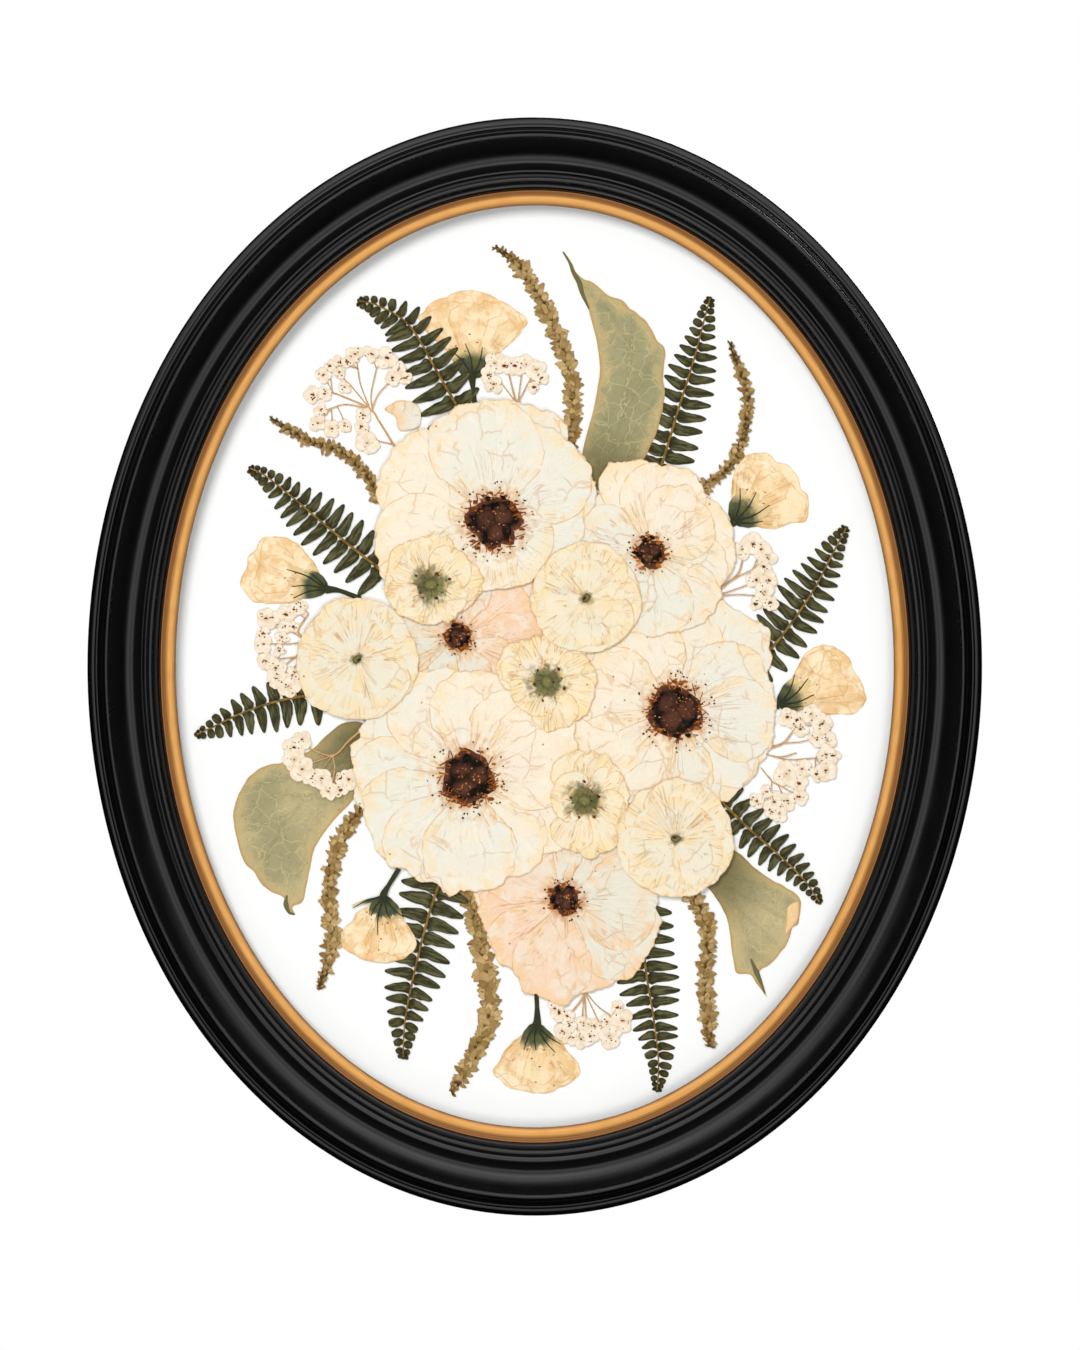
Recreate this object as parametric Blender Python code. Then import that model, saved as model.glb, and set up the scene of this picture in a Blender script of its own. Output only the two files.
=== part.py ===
"""Oval picture frame with an arrangement of pressed flowers, as separate closed solids.

Everything is drawn lying flat, in millimetres: x to the right, y up the picture, and heights
towards the viewer. An empty then stands the picture up, so that its front faces -Y and its back
face lies in the plane Y = 0.
"""
import math

import bmesh
import bpy
from mathutils import Vector

MM = 0.001

# Frame: outside size of the oval and its depth in front of the back face
OUTER_WIDTH = 335.4
OUTER_HEIGHT = 411.8
SEGMENTS = 40

# Moulding section as (inset from the outer edge, height above the back face)
LIP_INSET = 27.3
RABBET_INSET = 27.6
LEDGE_INSET = 32.4
LEDGE_BACK = 13.5
LEDGE_FRONT = 15.2
MOULDING_BACK = 0.6
MOULDING_SECTION = [
    (0, MOULDING_BACK), (0, 15), (1.5, 18.4), (3.8, 18.8), (5.6, 22.6), (7.7, 26), (8.9, 25),
    (12, 19.2), (16.3, 17), (20.6, 20.4), (22.1, 19.2), (23.8, 20.6), (LIP_INSET, 19),
    (LIP_INSET, LEDGE_FRONT), (LEDGE_INSET, LEDGE_FRONT), (LEDGE_INSET, LEDGE_BACK),
    (RABBET_INSET, LEDGE_BACK), (RABBET_INSET, MOULDING_BACK),
]

# Gilt slip: a cove beside the black, a rounded face and a bevel at the sight edge
GILT_SECTION = [
    (27.6, 15.5), (27.6, 17.4), (28.6, 16.9), (30.4, 17.9), (32.2, 17.5), (33.2, 16.2),
    (33.2, 15.5),
]

# Flat layers of the stack: (back, thickness)
SHEET_INSET = 28.0
DUST_COVER_INSET = 4.0
DUST_COVER = (0, 0.3)
BACKING_BOARD = (1.2, 2.4)
MOUNT_BOARD = (3.9, 1.4)
GLASS = (11.2, 2.0)

# Specimens lie in layers: greens first, then the flowers over them
GREEN_BACK = 5.6
GREEN_STEP = 0.5
GREEN_THICKNESS = 0.25
FLOWER_BACK = 7.1
FLOWER_STEP = 0.8
PETAL_THICKNESS = 0.2
PETAL_LAP = 0.12
CENTRE_RISE = 0.35
ANEMONE_POINTS = 39
BLOSSOM_POINTS = 30

# Hanging hardware behind the back face
HARDWARE_GAP = 0.3
HANGER_SIZE = (46, 9)
HANGER_THICKNESS = 1.0
HANGER_TEETH = 9
HANGER_TOOTH_DEPTH = 2.2
HANGER_SAG = 0.8
HANGER_INSET = 13.8
HANGER_NAIL_X = 19.5
NAIL_HOLE_RADIUS = 1.1
NAIL_SHAFT_RADIUS = 0.8
NAIL_HEAD_RADIUS = 2.2
NAIL_HEAD_THICKNESS = 0.8
BUMPER_RADIUS = 5.0
BUMPER_THICKNESS = 2.5
BUMPER_ANGLE = 48

# Anemones: centre, radius of the dark centre, layer, petals as (angle, length, width), then how
# many of the last ones lie in front of the rest
ANEMONES = {
    "anemone_top": ((-15.3, 54.2), 12.3, 2, [
        (72, 46.5, 34), (30, 41.5, 30), (150, 48, 36), (195, 46.5, 38), (225, 42, 32),
        (-10, 31, 34), (-62, 26, 38), (-115, 27, 32), (43, 42, 38), (95, 45.6, 44),
    ], 2),
    "anemone_upper_right": ((43, 42.8), 8.2, 1, [
        (130, 33, 26), (112, 37, 28), (78, 33.5, 32), (10, 33, 34), (-25, 30.5, 28),
        (-56, 33, 30), (-85, 31.5, 30), (170, 29, 30), (-130, 29, 30), (44, 28, 30),
    ], 1),
    "anemone_small_blush": ((-28.8, 11.1), 7.4, 0, [
        (50, 32.5, 28), (18, 32, 28), (-12, 30, 26), (-52, 26, 28), (-95, 24, 28),
        (-140, 27, 28), (178, 28, 28), (130, 26, 28), (92, 27, 26),
    ], 2),
    "anemone_right": ((52.9, -16.9), 12.4, 0, [
        (55, 44.5, 40), (90, 40, 36), (-32, 38, 34), (-60, 38.5, 32), (-95, 36, 34),
        (-130, 37, 34), (-165, 38, 34), (125, 38, 36), (160, 37, 32), (22, 38, 38), (-5, 38, 32),
    ], 2),
    "anemone_left": ((-25.1, -41.8), 12.6, 1, [
        (155, 44.5, 36), (182, 43, 32), (115, 43.5, 38), (83, 40.5, 36), (-28, 44, 30),
        (48, 37.5, 32), (-60, 41.5, 32), (-150, 43, 36), (-120, 43, 34), (-89, 43, 36),
        (12, 36, 40),
    ], 1),
    "anemone_lower_blush": ((11.2, -87.6), 9.0, 0, [
        (170, 34.5, 30), (-160, 33, 28), (-135, 33.5, 26), (35, 34, 32), (75, 32, 30),
        (112, 32, 30), (145, 33, 28), (-66, 36.5, 30), (-36, 38.5, 34), (-102, 38, 30),
        (-3, 35.5, 36),
    ], 2),
}

# Ranunculus: centre, outer radius, layer
RANUNCULUS = {
    "ranunculus_middle": ((19.3, 25.7), 21.0, 3),
    "ranunculus_left": ((-66.7, 2.7), 23.2, 2),
    "ranunculus_right": ((52.9, -64.7), 22.2, 3),
}
RANUNCULUS_CENTRE_RADIUS = 3.2

# Small blossoms: centre, layer, petals as (angle, length, width)
BLOSSOMS = {
    "blossom_upper": ((-39, 30.6), 3, [
        (5, 19.5, 16), (-48, 15, 16), (185, 17.5, 18), (-110, 15, 18), (-152, 17, 16),
        (135, 19, 18), (86, 18.5, 20), (42, 17, 18),
    ]),
    "blossom_middle": ((4.6, -5.9), 2, [
        (150, 20, 20), (105, 17.5, 16), (60, 19, 18), (15, 18.5, 18), (-28, 19, 18),
        (-75, 18.5, 18), (-140, 14, 20),
    ]),
    "blossom_lower": ((18.8, -50.5), 2, [
        (110, 19, 18), (65, 18.5, 18), (22, 17, 18), (-22, 15.5, 16), (-70, 21, 20),
        (-112, 20, 16), (165, 13, 20),
    ]),
}
BLOSSOM_CENTRE_RADIUS = 4.2

# Buds seen from the side: outline of the petals, of the calyx, and the stem's line
BUDS = {
    "bud_top": (
        [(-43.5, 131), (-39.5, 136.5), (-32, 140), (-23, 141.5), (-16.5, 139.5), (-3, 131),
         (-8.5, 122), (-13, 118.5), (-23, 112), (-32, 120), (-39, 124)],
        [(-29.5, 116.5), (-25.5, 121), (-17, 117.5), (-22.5, 108.5), (-24, 108.5)],
        [(-23, 110.5), (-23.5, 107), (-22.5, 98)]),
    "bud_left": (
        [(-111, 31.5), (-108, 41), (-102.5, 48.5), (-94, 48.5), (-85, 41.5), (-80, 33),
         (-79.5, 28.5), (-91.5, 24), (-103, 24), (-109, 27.5)],
        [(-89.5, 32), (-83, 34.5), (-78.5, 29.5), (-81, 27.3), (-91.5, 26)],
        [(-80, 29.3), (-73.5, 28.5), (-65.5, 25.5)]),
    "bud_upper_right": (
        [(74, 57), (74.5, 71.5), (77.5, 78), (88, 80), (95.5, 75.5), (99, 71), (103, 63.5),
         (102, 55), (92, 52), (82.5, 52.5), (77, 54)],
        [(74.5, 56), (76, 64), (89.5, 60.5), (87.5, 52), (77, 53)],
        [(78, 56), (74, 53.5), (68, 48.5)]),
    "bud_right": (
        [(92.5, -12), (98.5, -0.5), (102.5, 5.5), (111, 8), (118.5, 3), (122.5, -5),
         (124.5, -13), (120, -18), (108.5, -18), (104, -15.5), (95, -15.5)],
        [(92, -14), (93, -8), (104.5, -2), (107, -9), (99, -16.5), (92, -16)],
        [(94, -14), (90, -14.5), (84, -14.5)]),
    "bud_lower_left": (
        [(-57.5, -88), (-67, -92.5), (-72.5, -99.5), (-72.5, -105), (-63, -110.5),
         (-53, -111), (-44.5, -105.5), (-47.5, -97.5), (-53.5, -90.5)],
        [(-58, -87), (-63.5, -93.5), (-60.5, -100), (-55.5, -93.5), (-51, -97.5), (-55, -88)],
        [(-56.5, -89), (-56.5, -85), (-51, -76)]),
    "bud_bottom": (
        [(0.5, -135.5), (-8.5, -141), (-16, -152.5), (-10, -158), (1, -160.5), (9, -158.5),
         (17, -152.5), (13, -145.5), (7.5, -139)],
        [(0.5, -134.5), (-5.5, -139.5), (-4.5, -145), (5.5, -146.5), (9, -140), (2, -135)],
        [(1, -137), (1, -132.5), (0.5, -118)]),
}
STEM_WIDTH = 2.2

# Fern fronds: midrib from base to tip, pairs of leaflets, longest left and right leaflet, layer
FERNS = {
    "fern_top": ([(-25.5, 91.5), (-36, 109.5), (-47, 128), (-58.5, 135.5), (-66, 137.5)],
                 13, 13.6, 10.6, 1),
    "fern_upper_left": ([(-55, 34), (-72, 47.5), (-88, 61), (-101, 71.5), (-107, 74.5)],
                        14, 12.0, 9.9, 1),
    "fern_upper_right": ([(46.5, 71.5), (53.5, 95), (60, 116), (64, 131.5), (66, 138.5)],
                         15, 9.8, 11.2, 0),
    "fern_right": ([(81, 1), (90, 8), (103.5, 26.5), (111, 40.5), (117, 52)],
                   13, 12.2, 10.0, 1),
    "fern_left": ([(-78.5, -10), (-94.5, -12.5), (-109, -17), (-120.5, -22.5), (-127, -25.5)],
                  10, 10.8, 8.2, 1),
    "fern_lower_right": ([(68.5, -49), (79.5, -60), (92.5, -71.5), (101.5, -80.5), (107, -88.5)],
                         12, 9.2, 8.2, 1),
    "fern_bottom_left": ([(-35.5, -80), (-41, -97.5), (-46.5, -120.5), (-49, -135), (-49.5, -147)],
                         13, 11.8, 13.0, 1),
    "fern_bottom_right": ([(40, -88), (41.5, -112), (44.5, -131), (46.5, -148), (46, -159.5)],
                          16, 11.6, 11.0, 0),
}
LEAFLET_ANGLE = 82
LEAFLET_TIP = 1.3
SHORT_LEAFLET = 0.62
MIDRIB_HALF = 0.4

# Leaves: outline, layer
LEAVES = {
    "leaf_top": ([
        (10.5, 156), (17, 148), (22.5, 144), (32.5, 138), (39.5, 132), (46, 122.5), (49, 119),
        (48, 108), (49, 102.5), (46.5, 90.5), (40.5, 77.5), (33, 72), (23.5, 66), (18, 79),
        (19.5, 87), (23.5, 104), (24.5, 112), (22, 127.5), (17, 141.5), (15, 147)], 1),
    "leaf_left": ([
        (-63, -23.5), (-70.5, -21), (-82.5, -30), (-94.5, -36), (-104.5, -39), (-111, -46),
        (-113.5, -56.5), (-111, -69), (-106, -77), (-97.5, -85.5), (-93.5, -89.5), (-90, -93.5),
        (-87.5, -88.5), (-86, -83), (-83, -69), (-75, -57), (-67, -48), (-62.5, -41.5)], 0),
    "leaf_lower_right": ([
        (63, -79.5), (70.5, -70), (74.5, -69), (87, -79), (96, -84), (100, -88), (99, -96.5),
        (96, -101.5), (89, -111.5), (84, -117), (87.5, -124.5), (81, -116), (76, -115.5),
        (73.5, -101.5), (70, -90)], 0),
}

# Catkins: line from tip or top to end, width at start, in the middle and at the end, layer
CATKINS = {
    "catkin_top": ([(-14.5, 157.5), (-4.5, 149), (6, 130), (12.5, 113.5), (14.5, 100), (13.5, 83.5)],
                   (3, 8, 8), 0),
    "catkin_upper_left": ([(-99, 93), (-85.5, 85), (-72, 80.5), (-62.5, 71), (-58.5, 62)],
                          (2.5, 6, 7.5), 1),
    "catkin_upper_right": ([(73.5, 121.5), (79.5, 104), (79, 89), (74, 76.5), (62, 66)],
                           (2.5, 6, 6.5), 1),
    "catkin_lower_left": ([(-63.5, -51.5), (-73.5, -66.5), (-77.5, -85), (-76, -104), (-81, -121)],
                          (5.5, 8, 4), 1),
    "catkin_bottom": ([(-25, -84.5), (-20, -107), (-17, -130), (-24, -148), (-31.5, -160)],
                      (9, 9.5, 4.5), 0),
    "catkin_lower_right": ([(56.5, -81), (64.5, -97), (64.5, -113), (64.5, -128), (66, -143)],
                           (7, 8, 4), 1),
}
CATKIN_NOTCHES = 11

# Umbels: outline of the mass of florets, then its stems as lines
UMBELS = {
    "umbel_upper_left": (
        [(-86.5, 101), (-84, 89.5), (-79, 86.5), (-73, 86.5), (-69.5, 90.5), (-74.5, 94),
         (-76, 100), (-74, 105), (-68, 111), (-60.5, 112.5), (-56, 107.5), (-51, 105),
         (-46.5, 107.5), (-49, 113.5), (-53, 119.5), (-61, 120.5), (-69, 120), (-77, 116),
         (-82, 110)],
        [[(-52.5, 82), (-62, 97), (-76, 99)], [(-60.5, 95), (-60, 106), (-62, 113.5)],
         [(-61, 96), (-71, 107)], [(-60, 96), (-54, 107)]]),
    "umbel_top": (
        [(-20, 109), (-18.5, 115.5), (-14, 117.5), (-9, 116), (-3, 117.2), (3, 114.5), (5, 108.5),
         (1, 103.8), (-3, 107.5), (-9, 109.3), (-12.5, 103.6), (-17, 103.3)],
        [[(-6.5, 96.5), (-8.5, 111)], [(-7.2, 101), (-2, 109)]]),
    "umbel_left": (
        [(-104.5, 20), (-94, 22.5), (-88, 25), (-85.5, 22), (-91, 13), (-94, 6), (-94.5, 2),
         (-89.5, -0.5), (-88.5, -6), (-92, -11), (-100, -6.5), (-103.5, -1), (-105.5, 10)],
        [[(-82, 10), (-92.5, 8.5), (-97, 9)], [(-83, 10), (-88.5, 19)], [(-86, 5), (-96, 3)]]),
    "umbel_upper_right": (
        [(75, 44.5), (79, 48.5), (86, 47.5), (90.5, 41), (91, 31.5), (91, 24), (86, 20.5),
         (81.5, 23), (83, 30), (83.5, 37.5), (76.5, 41.5)],
        [[(64, 25.5), (73, 31), (80, 42)], [(71, 29.5), (85, 36)], [(70, 28.7), (84.5, 26)]]),
    "umbel_right": (
        [(92, -18), (104, -14.5), (111.5, -19.5), (112, -26), (114.5, -33), (113, -40.5),
         (103, -45), (102, -51), (94.5, -57.5), (87, -55), (81.5, -51), (84, -47.5), (89, -45),
         (91, -38), (103, -36), (103.5, -31), (100, -26), (94, -23)],
        [[(83, -32), (93, -29.5), (102, -27)], [(88, -31.2), (105, -34)],
         [(82, -36), (89, -43), (90, -49)]]),
    "umbel_lower_left": (
        [(-90, -24.5), (-85.5, -26), (-86, -34), (-82, -39), (-77, -42), (-73, -39),
         (-67, -40), (-67.5, -46), (-73, -49.5), (-79.5, -50), (-84, -45), (-89.5, -42.5),
         (-94, -37.5), (-94, -30)],
        [[(-63.5, -22.5), (-76, -33), (-88, -30)], [(-74, -31.5), (-77.5, -46)],
         [(-75, -32.3), (-87, -38)]]),
    "umbel_bottom": (
        [(5, -127), (9.5, -126), (17, -131.5), (26, -131.5), (29.5, -126), (37, -132.5),
         (32.5, -141), (27.5, -143.5), (17.5, -143.5), (12.5, -142.5), (6.5, -134)],
        [[(18.5, -117), (18.5, -123.5), (12, -134)], [(18.5, -121), (18.5, -136)],
         [(18, -122.5), (30.5, -133)]]),
}
UMBEL_LAYER = 2
UMBEL_STEM_WIDTH = 1.1
STEM_LAP = 0.03

# Colour, roughness and metallic value of each material
MATERIALS = {
    "black_lacquer": ((0.012, 0.012, 0.012), 0.3, 0.0),
    "gilt": ((0.72, 0.42, 0.14), 0.35, 1.0),
    "clear_glass": ((0.95, 0.97, 0.96), 0.02, 0.0),
    "white_card": ((0.93, 0.93, 0.92), 0.9, 0.0),
    "grey_board": ((0.35, 0.32, 0.28), 0.9, 0.0),
    "kraft_paper": ((0.42, 0.27, 0.15), 0.85, 0.0),
    "steel": ((0.6, 0.58, 0.52), 0.35, 1.0),
    "rubber": ((0.05, 0.05, 0.05), 0.8, 0.0),
    "ivory_petal": ((0.88, 0.82, 0.68), 0.7, 0.0),
    "blush_petal": ((0.9, 0.76, 0.63), 0.7, 0.0),
    "cream_petal": ((0.87, 0.77, 0.53), 0.7, 0.0),
    "fern_green": ((0.07, 0.08, 0.04), 0.7, 0.0),
    "sage_leaf": ((0.32, 0.32, 0.2), 0.7, 0.0),
    "tan_bract": ((0.36, 0.27, 0.13), 0.8, 0.0),
    "white_floret": ((0.88, 0.82, 0.72), 0.7, 0.0),
}


def clear_scene():
    for item in list(bpy.data.objects):
        bpy.data.objects.remove(item, do_unlink=True)


def make_material(name):
    colour, roughness, metallic = MATERIALS[name]
    material = bpy.data.materials.new(name)
    material.use_nodes = True
    shader = material.node_tree.nodes["Principled BSDF"]
    shader.inputs["Base Color"].default_value = (*colour, 1.0)
    shader.inputs["Roughness"].default_value = roughness
    shader.inputs["Metallic"].default_value = metallic
    return material


def make_stand(collection):
    """An empty that turns the flat picture upright, with its front towards -Y."""
    stand = bpy.data.objects.new("upright", None)
    stand.rotation_euler = (math.radians(90), 0, 0)
    collection.objects.link(stand)
    return stand


def polar(centre, degrees, radius):
    angle = math.radians(degrees)
    return (centre[0] + radius * math.cos(angle), centre[1] + radius * math.sin(angle))


def oval_outline(inset):
    """Points on a line parallel to the frame's outer ellipse, inset towards its middle."""
    half_width = OUTER_WIDTH / 2
    half_height = OUTER_HEIGHT / 2
    points = []
    for step in range(SEGMENTS):
        angle = 2 * math.pi * step / SEGMENTS
        normal = Vector((math.cos(angle) / half_width, math.sin(angle) / half_height))
        normal.normalize()
        points.append((half_width * math.cos(angle) - inset * normal.x,
                       half_height * math.sin(angle) - inset * normal.y))
    return points


def smooth_line(points, count):
    """Evenly spaced points along a smooth curve through the given ones, with its directions."""
    ends = [Vector(points[0]) * 2 - Vector(points[1])]
    ends += [Vector(point) for point in points]
    ends.append(Vector(points[-1]) * 2 - Vector(points[-2]))
    fine = []
    for first in range(len(points) - 1):
        before, start, end, after = ends[first:first + 4]
        for step in range(20):
            t = step / 20
            fine.append(0.5 * (2 * start + (end - before) * t
                               + (2 * before - 5 * start + 4 * end - after) * t * t
                               + (3 * start - before - 3 * end + after) * t ** 3))
    fine.append(Vector(points[-1]))
    lengths = [0.0]
    for here, there in zip(fine, fine[1:]):
        lengths.append(lengths[-1] + (there - here).length)
    places = []
    for index in range(count):
        wanted = lengths[-1] * index / (count - 1)
        after = next(i for i in range(1, len(fine)) if lengths[i] >= wanted - 1e-9)
        share = (wanted - lengths[after - 1]) / (lengths[after] - lengths[after - 1])
        places.append((fine[after - 1].lerp(fine[after], share),
                       (fine[after] - fine[after - 1]).normalized()))
    return places


def curve_object(name, outline, fill):
    """A closed flat curve through the outline's points, linked to the scene."""
    curve = bpy.data.curves.new(name, "CURVE")
    curve.dimensions = "2D"
    curve.fill_mode = fill
    spline = curve.splines.new("POLY")
    spline.points.add(len(outline) - 1)
    for point, (x, y) in zip(spline.points, outline):
        point.co = (x * MM, y * MM, 0, 1)
    spline.use_cyclic_u = True
    shape = bpy.data.objects.new(name, curve)
    bpy.context.scene.collection.objects.link(shape)
    return shape


def as_mesh_object(shape):
    """The evaluated shape as a welded mesh object in the same place; the source is removed."""
    bpy.context.view_layer.update()
    depsgraph = bpy.context.evaluated_depsgraph_get()
    mesh = bpy.data.meshes.new_from_object(shape.evaluated_get(depsgraph))
    work = bmesh.new()
    work.from_mesh(mesh)
    bmesh.ops.transform(work, matrix=shape.matrix_world, verts=work.verts)
    bmesh.ops.remove_doubles(work, verts=work.verts, dist=0.00001)
    bmesh.ops.recalc_face_normals(work, faces=work.faces)
    work.to_mesh(mesh)
    work.free()
    name = shape.name
    bpy.data.objects.remove(shape, do_unlink=True)
    solid = bpy.data.objects.new(name, mesh)
    bpy.context.scene.collection.objects.link(solid)
    return solid


def plate(name, outline, back, thickness):
    """A flat outline given its thickness, with its back face at a height above the back."""
    shape = curve_object(name, outline, "BOTH")
    shape.data.extrude = thickness / 2 * MM
    shape.location.z = (back + thickness / 2) * MM
    return as_mesh_object(shape)


def button(name, centre, radius, back, height, sides, top_share=0.7):
    """A low round boss with a narrower flat top."""
    work = bmesh.new()
    bmesh.ops.create_cone(work, cap_ends=True, segments=sides, radius1=radius * MM,
                          radius2=radius * top_share * MM, depth=height * MM)
    mesh = bpy.data.meshes.new(name)
    work.to_mesh(mesh)
    work.free()
    boss = bpy.data.objects.new(name, mesh)
    boss.location = (centre[0] * MM, centre[1] * MM, (back + height / 2) * MM)
    bpy.context.scene.collection.objects.link(boss)
    return as_mesh_object(boss)


def combine(name, shapes, operation):
    """Join overlapping shapes, or cut the first by the others, with exact Booleans."""
    whole = shapes[0]
    whole.name = name
    for other in shapes[1:]:
        step = whole.modifiers.new("combine", "BOOLEAN")
        step.operation = operation
        step.solver = "EXACT"
        step.object = other
    solid = as_mesh_object(whole)
    for other in shapes[1:]:
        bpy.data.objects.remove(other, do_unlink=True)
    solid.name = name
    return solid


def dissolve_flat(solid):
    """Merge the small faces that a Boolean leaves in one plane."""
    work = bmesh.new()
    work.from_mesh(solid.data)
    bmesh.ops.dissolve_limit(work, angle_limit=math.radians(0.5), verts=work.verts,
                             edges=work.edges)
    work.to_mesh(solid.data)
    work.free()
    return solid


def swept_ring(name, section):
    """A section carried round the oval, parallel to its outer edge."""
    profile = curve_object(name + "_section", [(inset, height) for inset, height in section], "NONE")
    ring = curve_object(name, oval_outline(0), "NONE")
    ring.data.bevel_mode = "OBJECT"
    ring.data.bevel_object = profile
    solid = as_mesh_object(ring)
    bpy.data.objects.remove(profile, do_unlink=True)
    return solid


def petal_reach(turn, length, width):
    """Distance from a flower's middle to the edge of one petal, at an angle to the petal.

    The petal is an ellipse over the outer four fifths of its length.
    """
    middle = length * 0.6
    half_length = length * 0.4
    half_width = width / 2
    towards = math.cos(math.radians(turn)) / half_length
    sideways = math.sin(math.radians(turn)) / half_width
    offset = middle / half_length
    square = towards ** 2 + sideways ** 2
    root = (towards * offset) ** 2 - square * (offset ** 2 - 1)
    if root < 0 or towards < 0:
        return 0
    return (towards * offset + math.sqrt(root)) / square


def flower_outline(centre, petals, foot, count):
    """The outline of overlapping petals, no closer to the middle than the foot radius."""
    points = []
    for index in range(count):
        degrees = 360 * index / count
        reaches = [petal_reach(degrees - angle, length, width) for angle, length, width in petals]
        points.append(polar(centre, degrees, max(reaches + [foot])))
    return points


def strip_outline(line, width):
    """A narrow strip of even width along a line of points."""
    places = [Vector(point) for point in line]
    left = []
    right = []
    for index, place in enumerate(places):
        before = places[max(index - 1, 0)]
        after = places[min(index + 1, len(places) - 1)]
        along = (after - before).normalized()
        across = Vector((-along.y, along.x)) * (width / 2)
        left.append(tuple(place + across))
        right.append(tuple(place - across))
    return right + left[::-1]


def petal_flower(name, centre, back, petals, fronts, boss_radius, count):
    """All the petals as one plate, the front ones raised on it, and the raised centre."""
    shapes = [plate(name, flower_outline(centre, petals, boss_radius * 1.2, count), back,
                    PETAL_THICKNESS)]
    height = PETAL_THICKNESS
    if fronts:
        outline = flower_outline(centre, petals[-fronts:], boss_radius * 0.8, count * 2 // 3)
        shapes.append(plate(name, outline, back + PETAL_LAP, PETAL_THICKNESS))
        height += PETAL_LAP
    shapes.append(button(name, centre, boss_radius, back + 0.05, height + CENTRE_RISE, 9))
    return dissolve_flat(combine(name, shapes, "UNION"))


def anemone(name):
    centre, dark_radius, layer, petals, fronts = ANEMONES[name]
    back = FLOWER_BACK + layer * FLOWER_STEP
    return petal_flower(name, centre, back, petals, fronts, dark_radius, ANEMONE_POINTS)


def blossom(name):
    centre, layer, petals = BLOSSOMS[name]
    back = FLOWER_BACK + layer * FLOWER_STEP
    return petal_flower(name, centre, back, petals, 0, BLOSSOM_CENTRE_RADIUS, BLOSSOM_POINTS)


def scalloped_disc(centre, radius, lobes, depth):
    points = []
    for index in range(lobes * 2):
        reach = radius if index % 2 else radius * (1 - depth)
        points.append(polar(centre, 180 * index / lobes, reach))
    return points


def ranunculus(name):
    """A pressed round head: a scalloped disc, a smaller ring of petals and a tight middle."""
    centre, radius, layer = RANUNCULUS[name]
    back = FLOWER_BACK + layer * FLOWER_STEP
    shapes = [
        plate(name, scalloped_disc(centre, radius, 10, 0.03), back, PETAL_THICKNESS),
        plate(name, scalloped_disc(centre, radius * 0.62, 7, 0.05), back + 0.1, PETAL_THICKNESS),
        button(name, centre, RANUNCULUS_CENTRE_RADIUS, back + 0.15, 0.35, 8),
    ]
    return dissolve_flat(combine(name, shapes, "UNION"))


def bud(name):
    """A half-open flower pressed on its side, with its calyx in front and its stem."""
    petals, calyx, stem = BUDS[name]
    shapes = [
        plate(name, petals, GREEN_BACK, GREEN_THICKNESS - 0.06),
        plate(name, calyx, GREEN_BACK + 0.03, GREEN_THICKNESS - 0.03),
        plate(name, strip_outline(stem, STEM_WIDTH), GREEN_BACK + 0.015, GREEN_THICKNESS - 0.045),
    ]
    return dissolve_flat(combine(name, shapes, "UNION"))


def leaflet_length(share):
    """Length of a fern's leaflet against the longest, at a share of the way to the tip."""
    return min(1.0, 1.4 - 1.2 * share)


def fern(name):
    """A frond as one toothed outline, its leaflets in pairs down to the tip."""
    midrib, pairs, longest_left, longest_right, layer = FERNS[name]
    places = smooth_line(midrib, 2 * pairs + 1)
    sides = []
    for turn, longest in ((1, longest_left), (-1, longest_right)):
        side = []
        for pair in range(pairs):
            place, along = places[2 * pair + 1]
            foot, foot_along = places[2 * pair]
            across = Vector((-foot_along.y, foot_along.x)) * turn
            reach = longest * leaflet_length((pair + 0.5) / pairs)
            heading = math.degrees(math.atan2(along.y, along.x)) + turn * LEAFLET_ANGLE
            tip = Vector(polar(place, heading, reach))
            side.append(foot + across * MIDRIB_HALF)
            if reach < longest * SHORT_LEAFLET:
                side.append(tip)
            else:
                side.append(tip - along * (LEAFLET_TIP / 2))
                side.append(tip + along * (LEAFLET_TIP / 2))
        sides.append([tuple(point) for point in side])
    outline = sides[1] + [tuple(places[-1][0])] + sides[0][::-1]
    return plate(name, outline, GREEN_BACK + layer * GREEN_STEP, GREEN_THICKNESS)


def leaf(name):
    outline, layer = LEAVES[name]
    return plate(name, outline, GREEN_BACK + layer * GREEN_STEP, GREEN_THICKNESS)


def catkin(name):
    """A hanging spike of bracts as a strip with a notched edge."""
    line, (start, middle, end), layer = CATKINS[name]
    places = smooth_line(line, CATKIN_NOTCHES + 1)
    left = []
    right = []
    for index, (place, along) in enumerate(places):
        share = index / CATKIN_NOTCHES
        width = start + (middle - start) * min(1, 2 * share)
        width += (end - middle) * max(0, 2 * share - 1)
        across = Vector((-along.y, along.x)) * (width / 2)
        left.append(tuple(place + across * (0.78 if index % 2 else 1.0)))
        right.append(tuple(place - across * (1.0 if index % 2 else 0.78)))
    return plate(name, right + left[::-1], GREEN_BACK + layer * GREEN_STEP, GREEN_THICKNESS)


def umbel(name):
    """A head of tiny florets as one lobed plate, with the stems that meet at its foot."""
    head, stems = UMBELS[name]
    back = GREEN_BACK + UMBEL_LAYER * GREEN_STEP
    shapes = [plate(name, head, back, GREEN_THICKNESS)]
    for index, stem in enumerate(stems):
        shapes.append(plate(name, strip_outline(stem, UMBEL_STEM_WIDTH),
                            back + STEM_LAP * (index + 1), GREEN_THICKNESS - STEM_LAP / 2))
    return dissolve_flat(combine(name, shapes, "UNION"))


def hanger_top():
    """Height up the picture of the hanger plate's middle."""
    return OUTER_HEIGHT / 2 - HANGER_INSET


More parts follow.
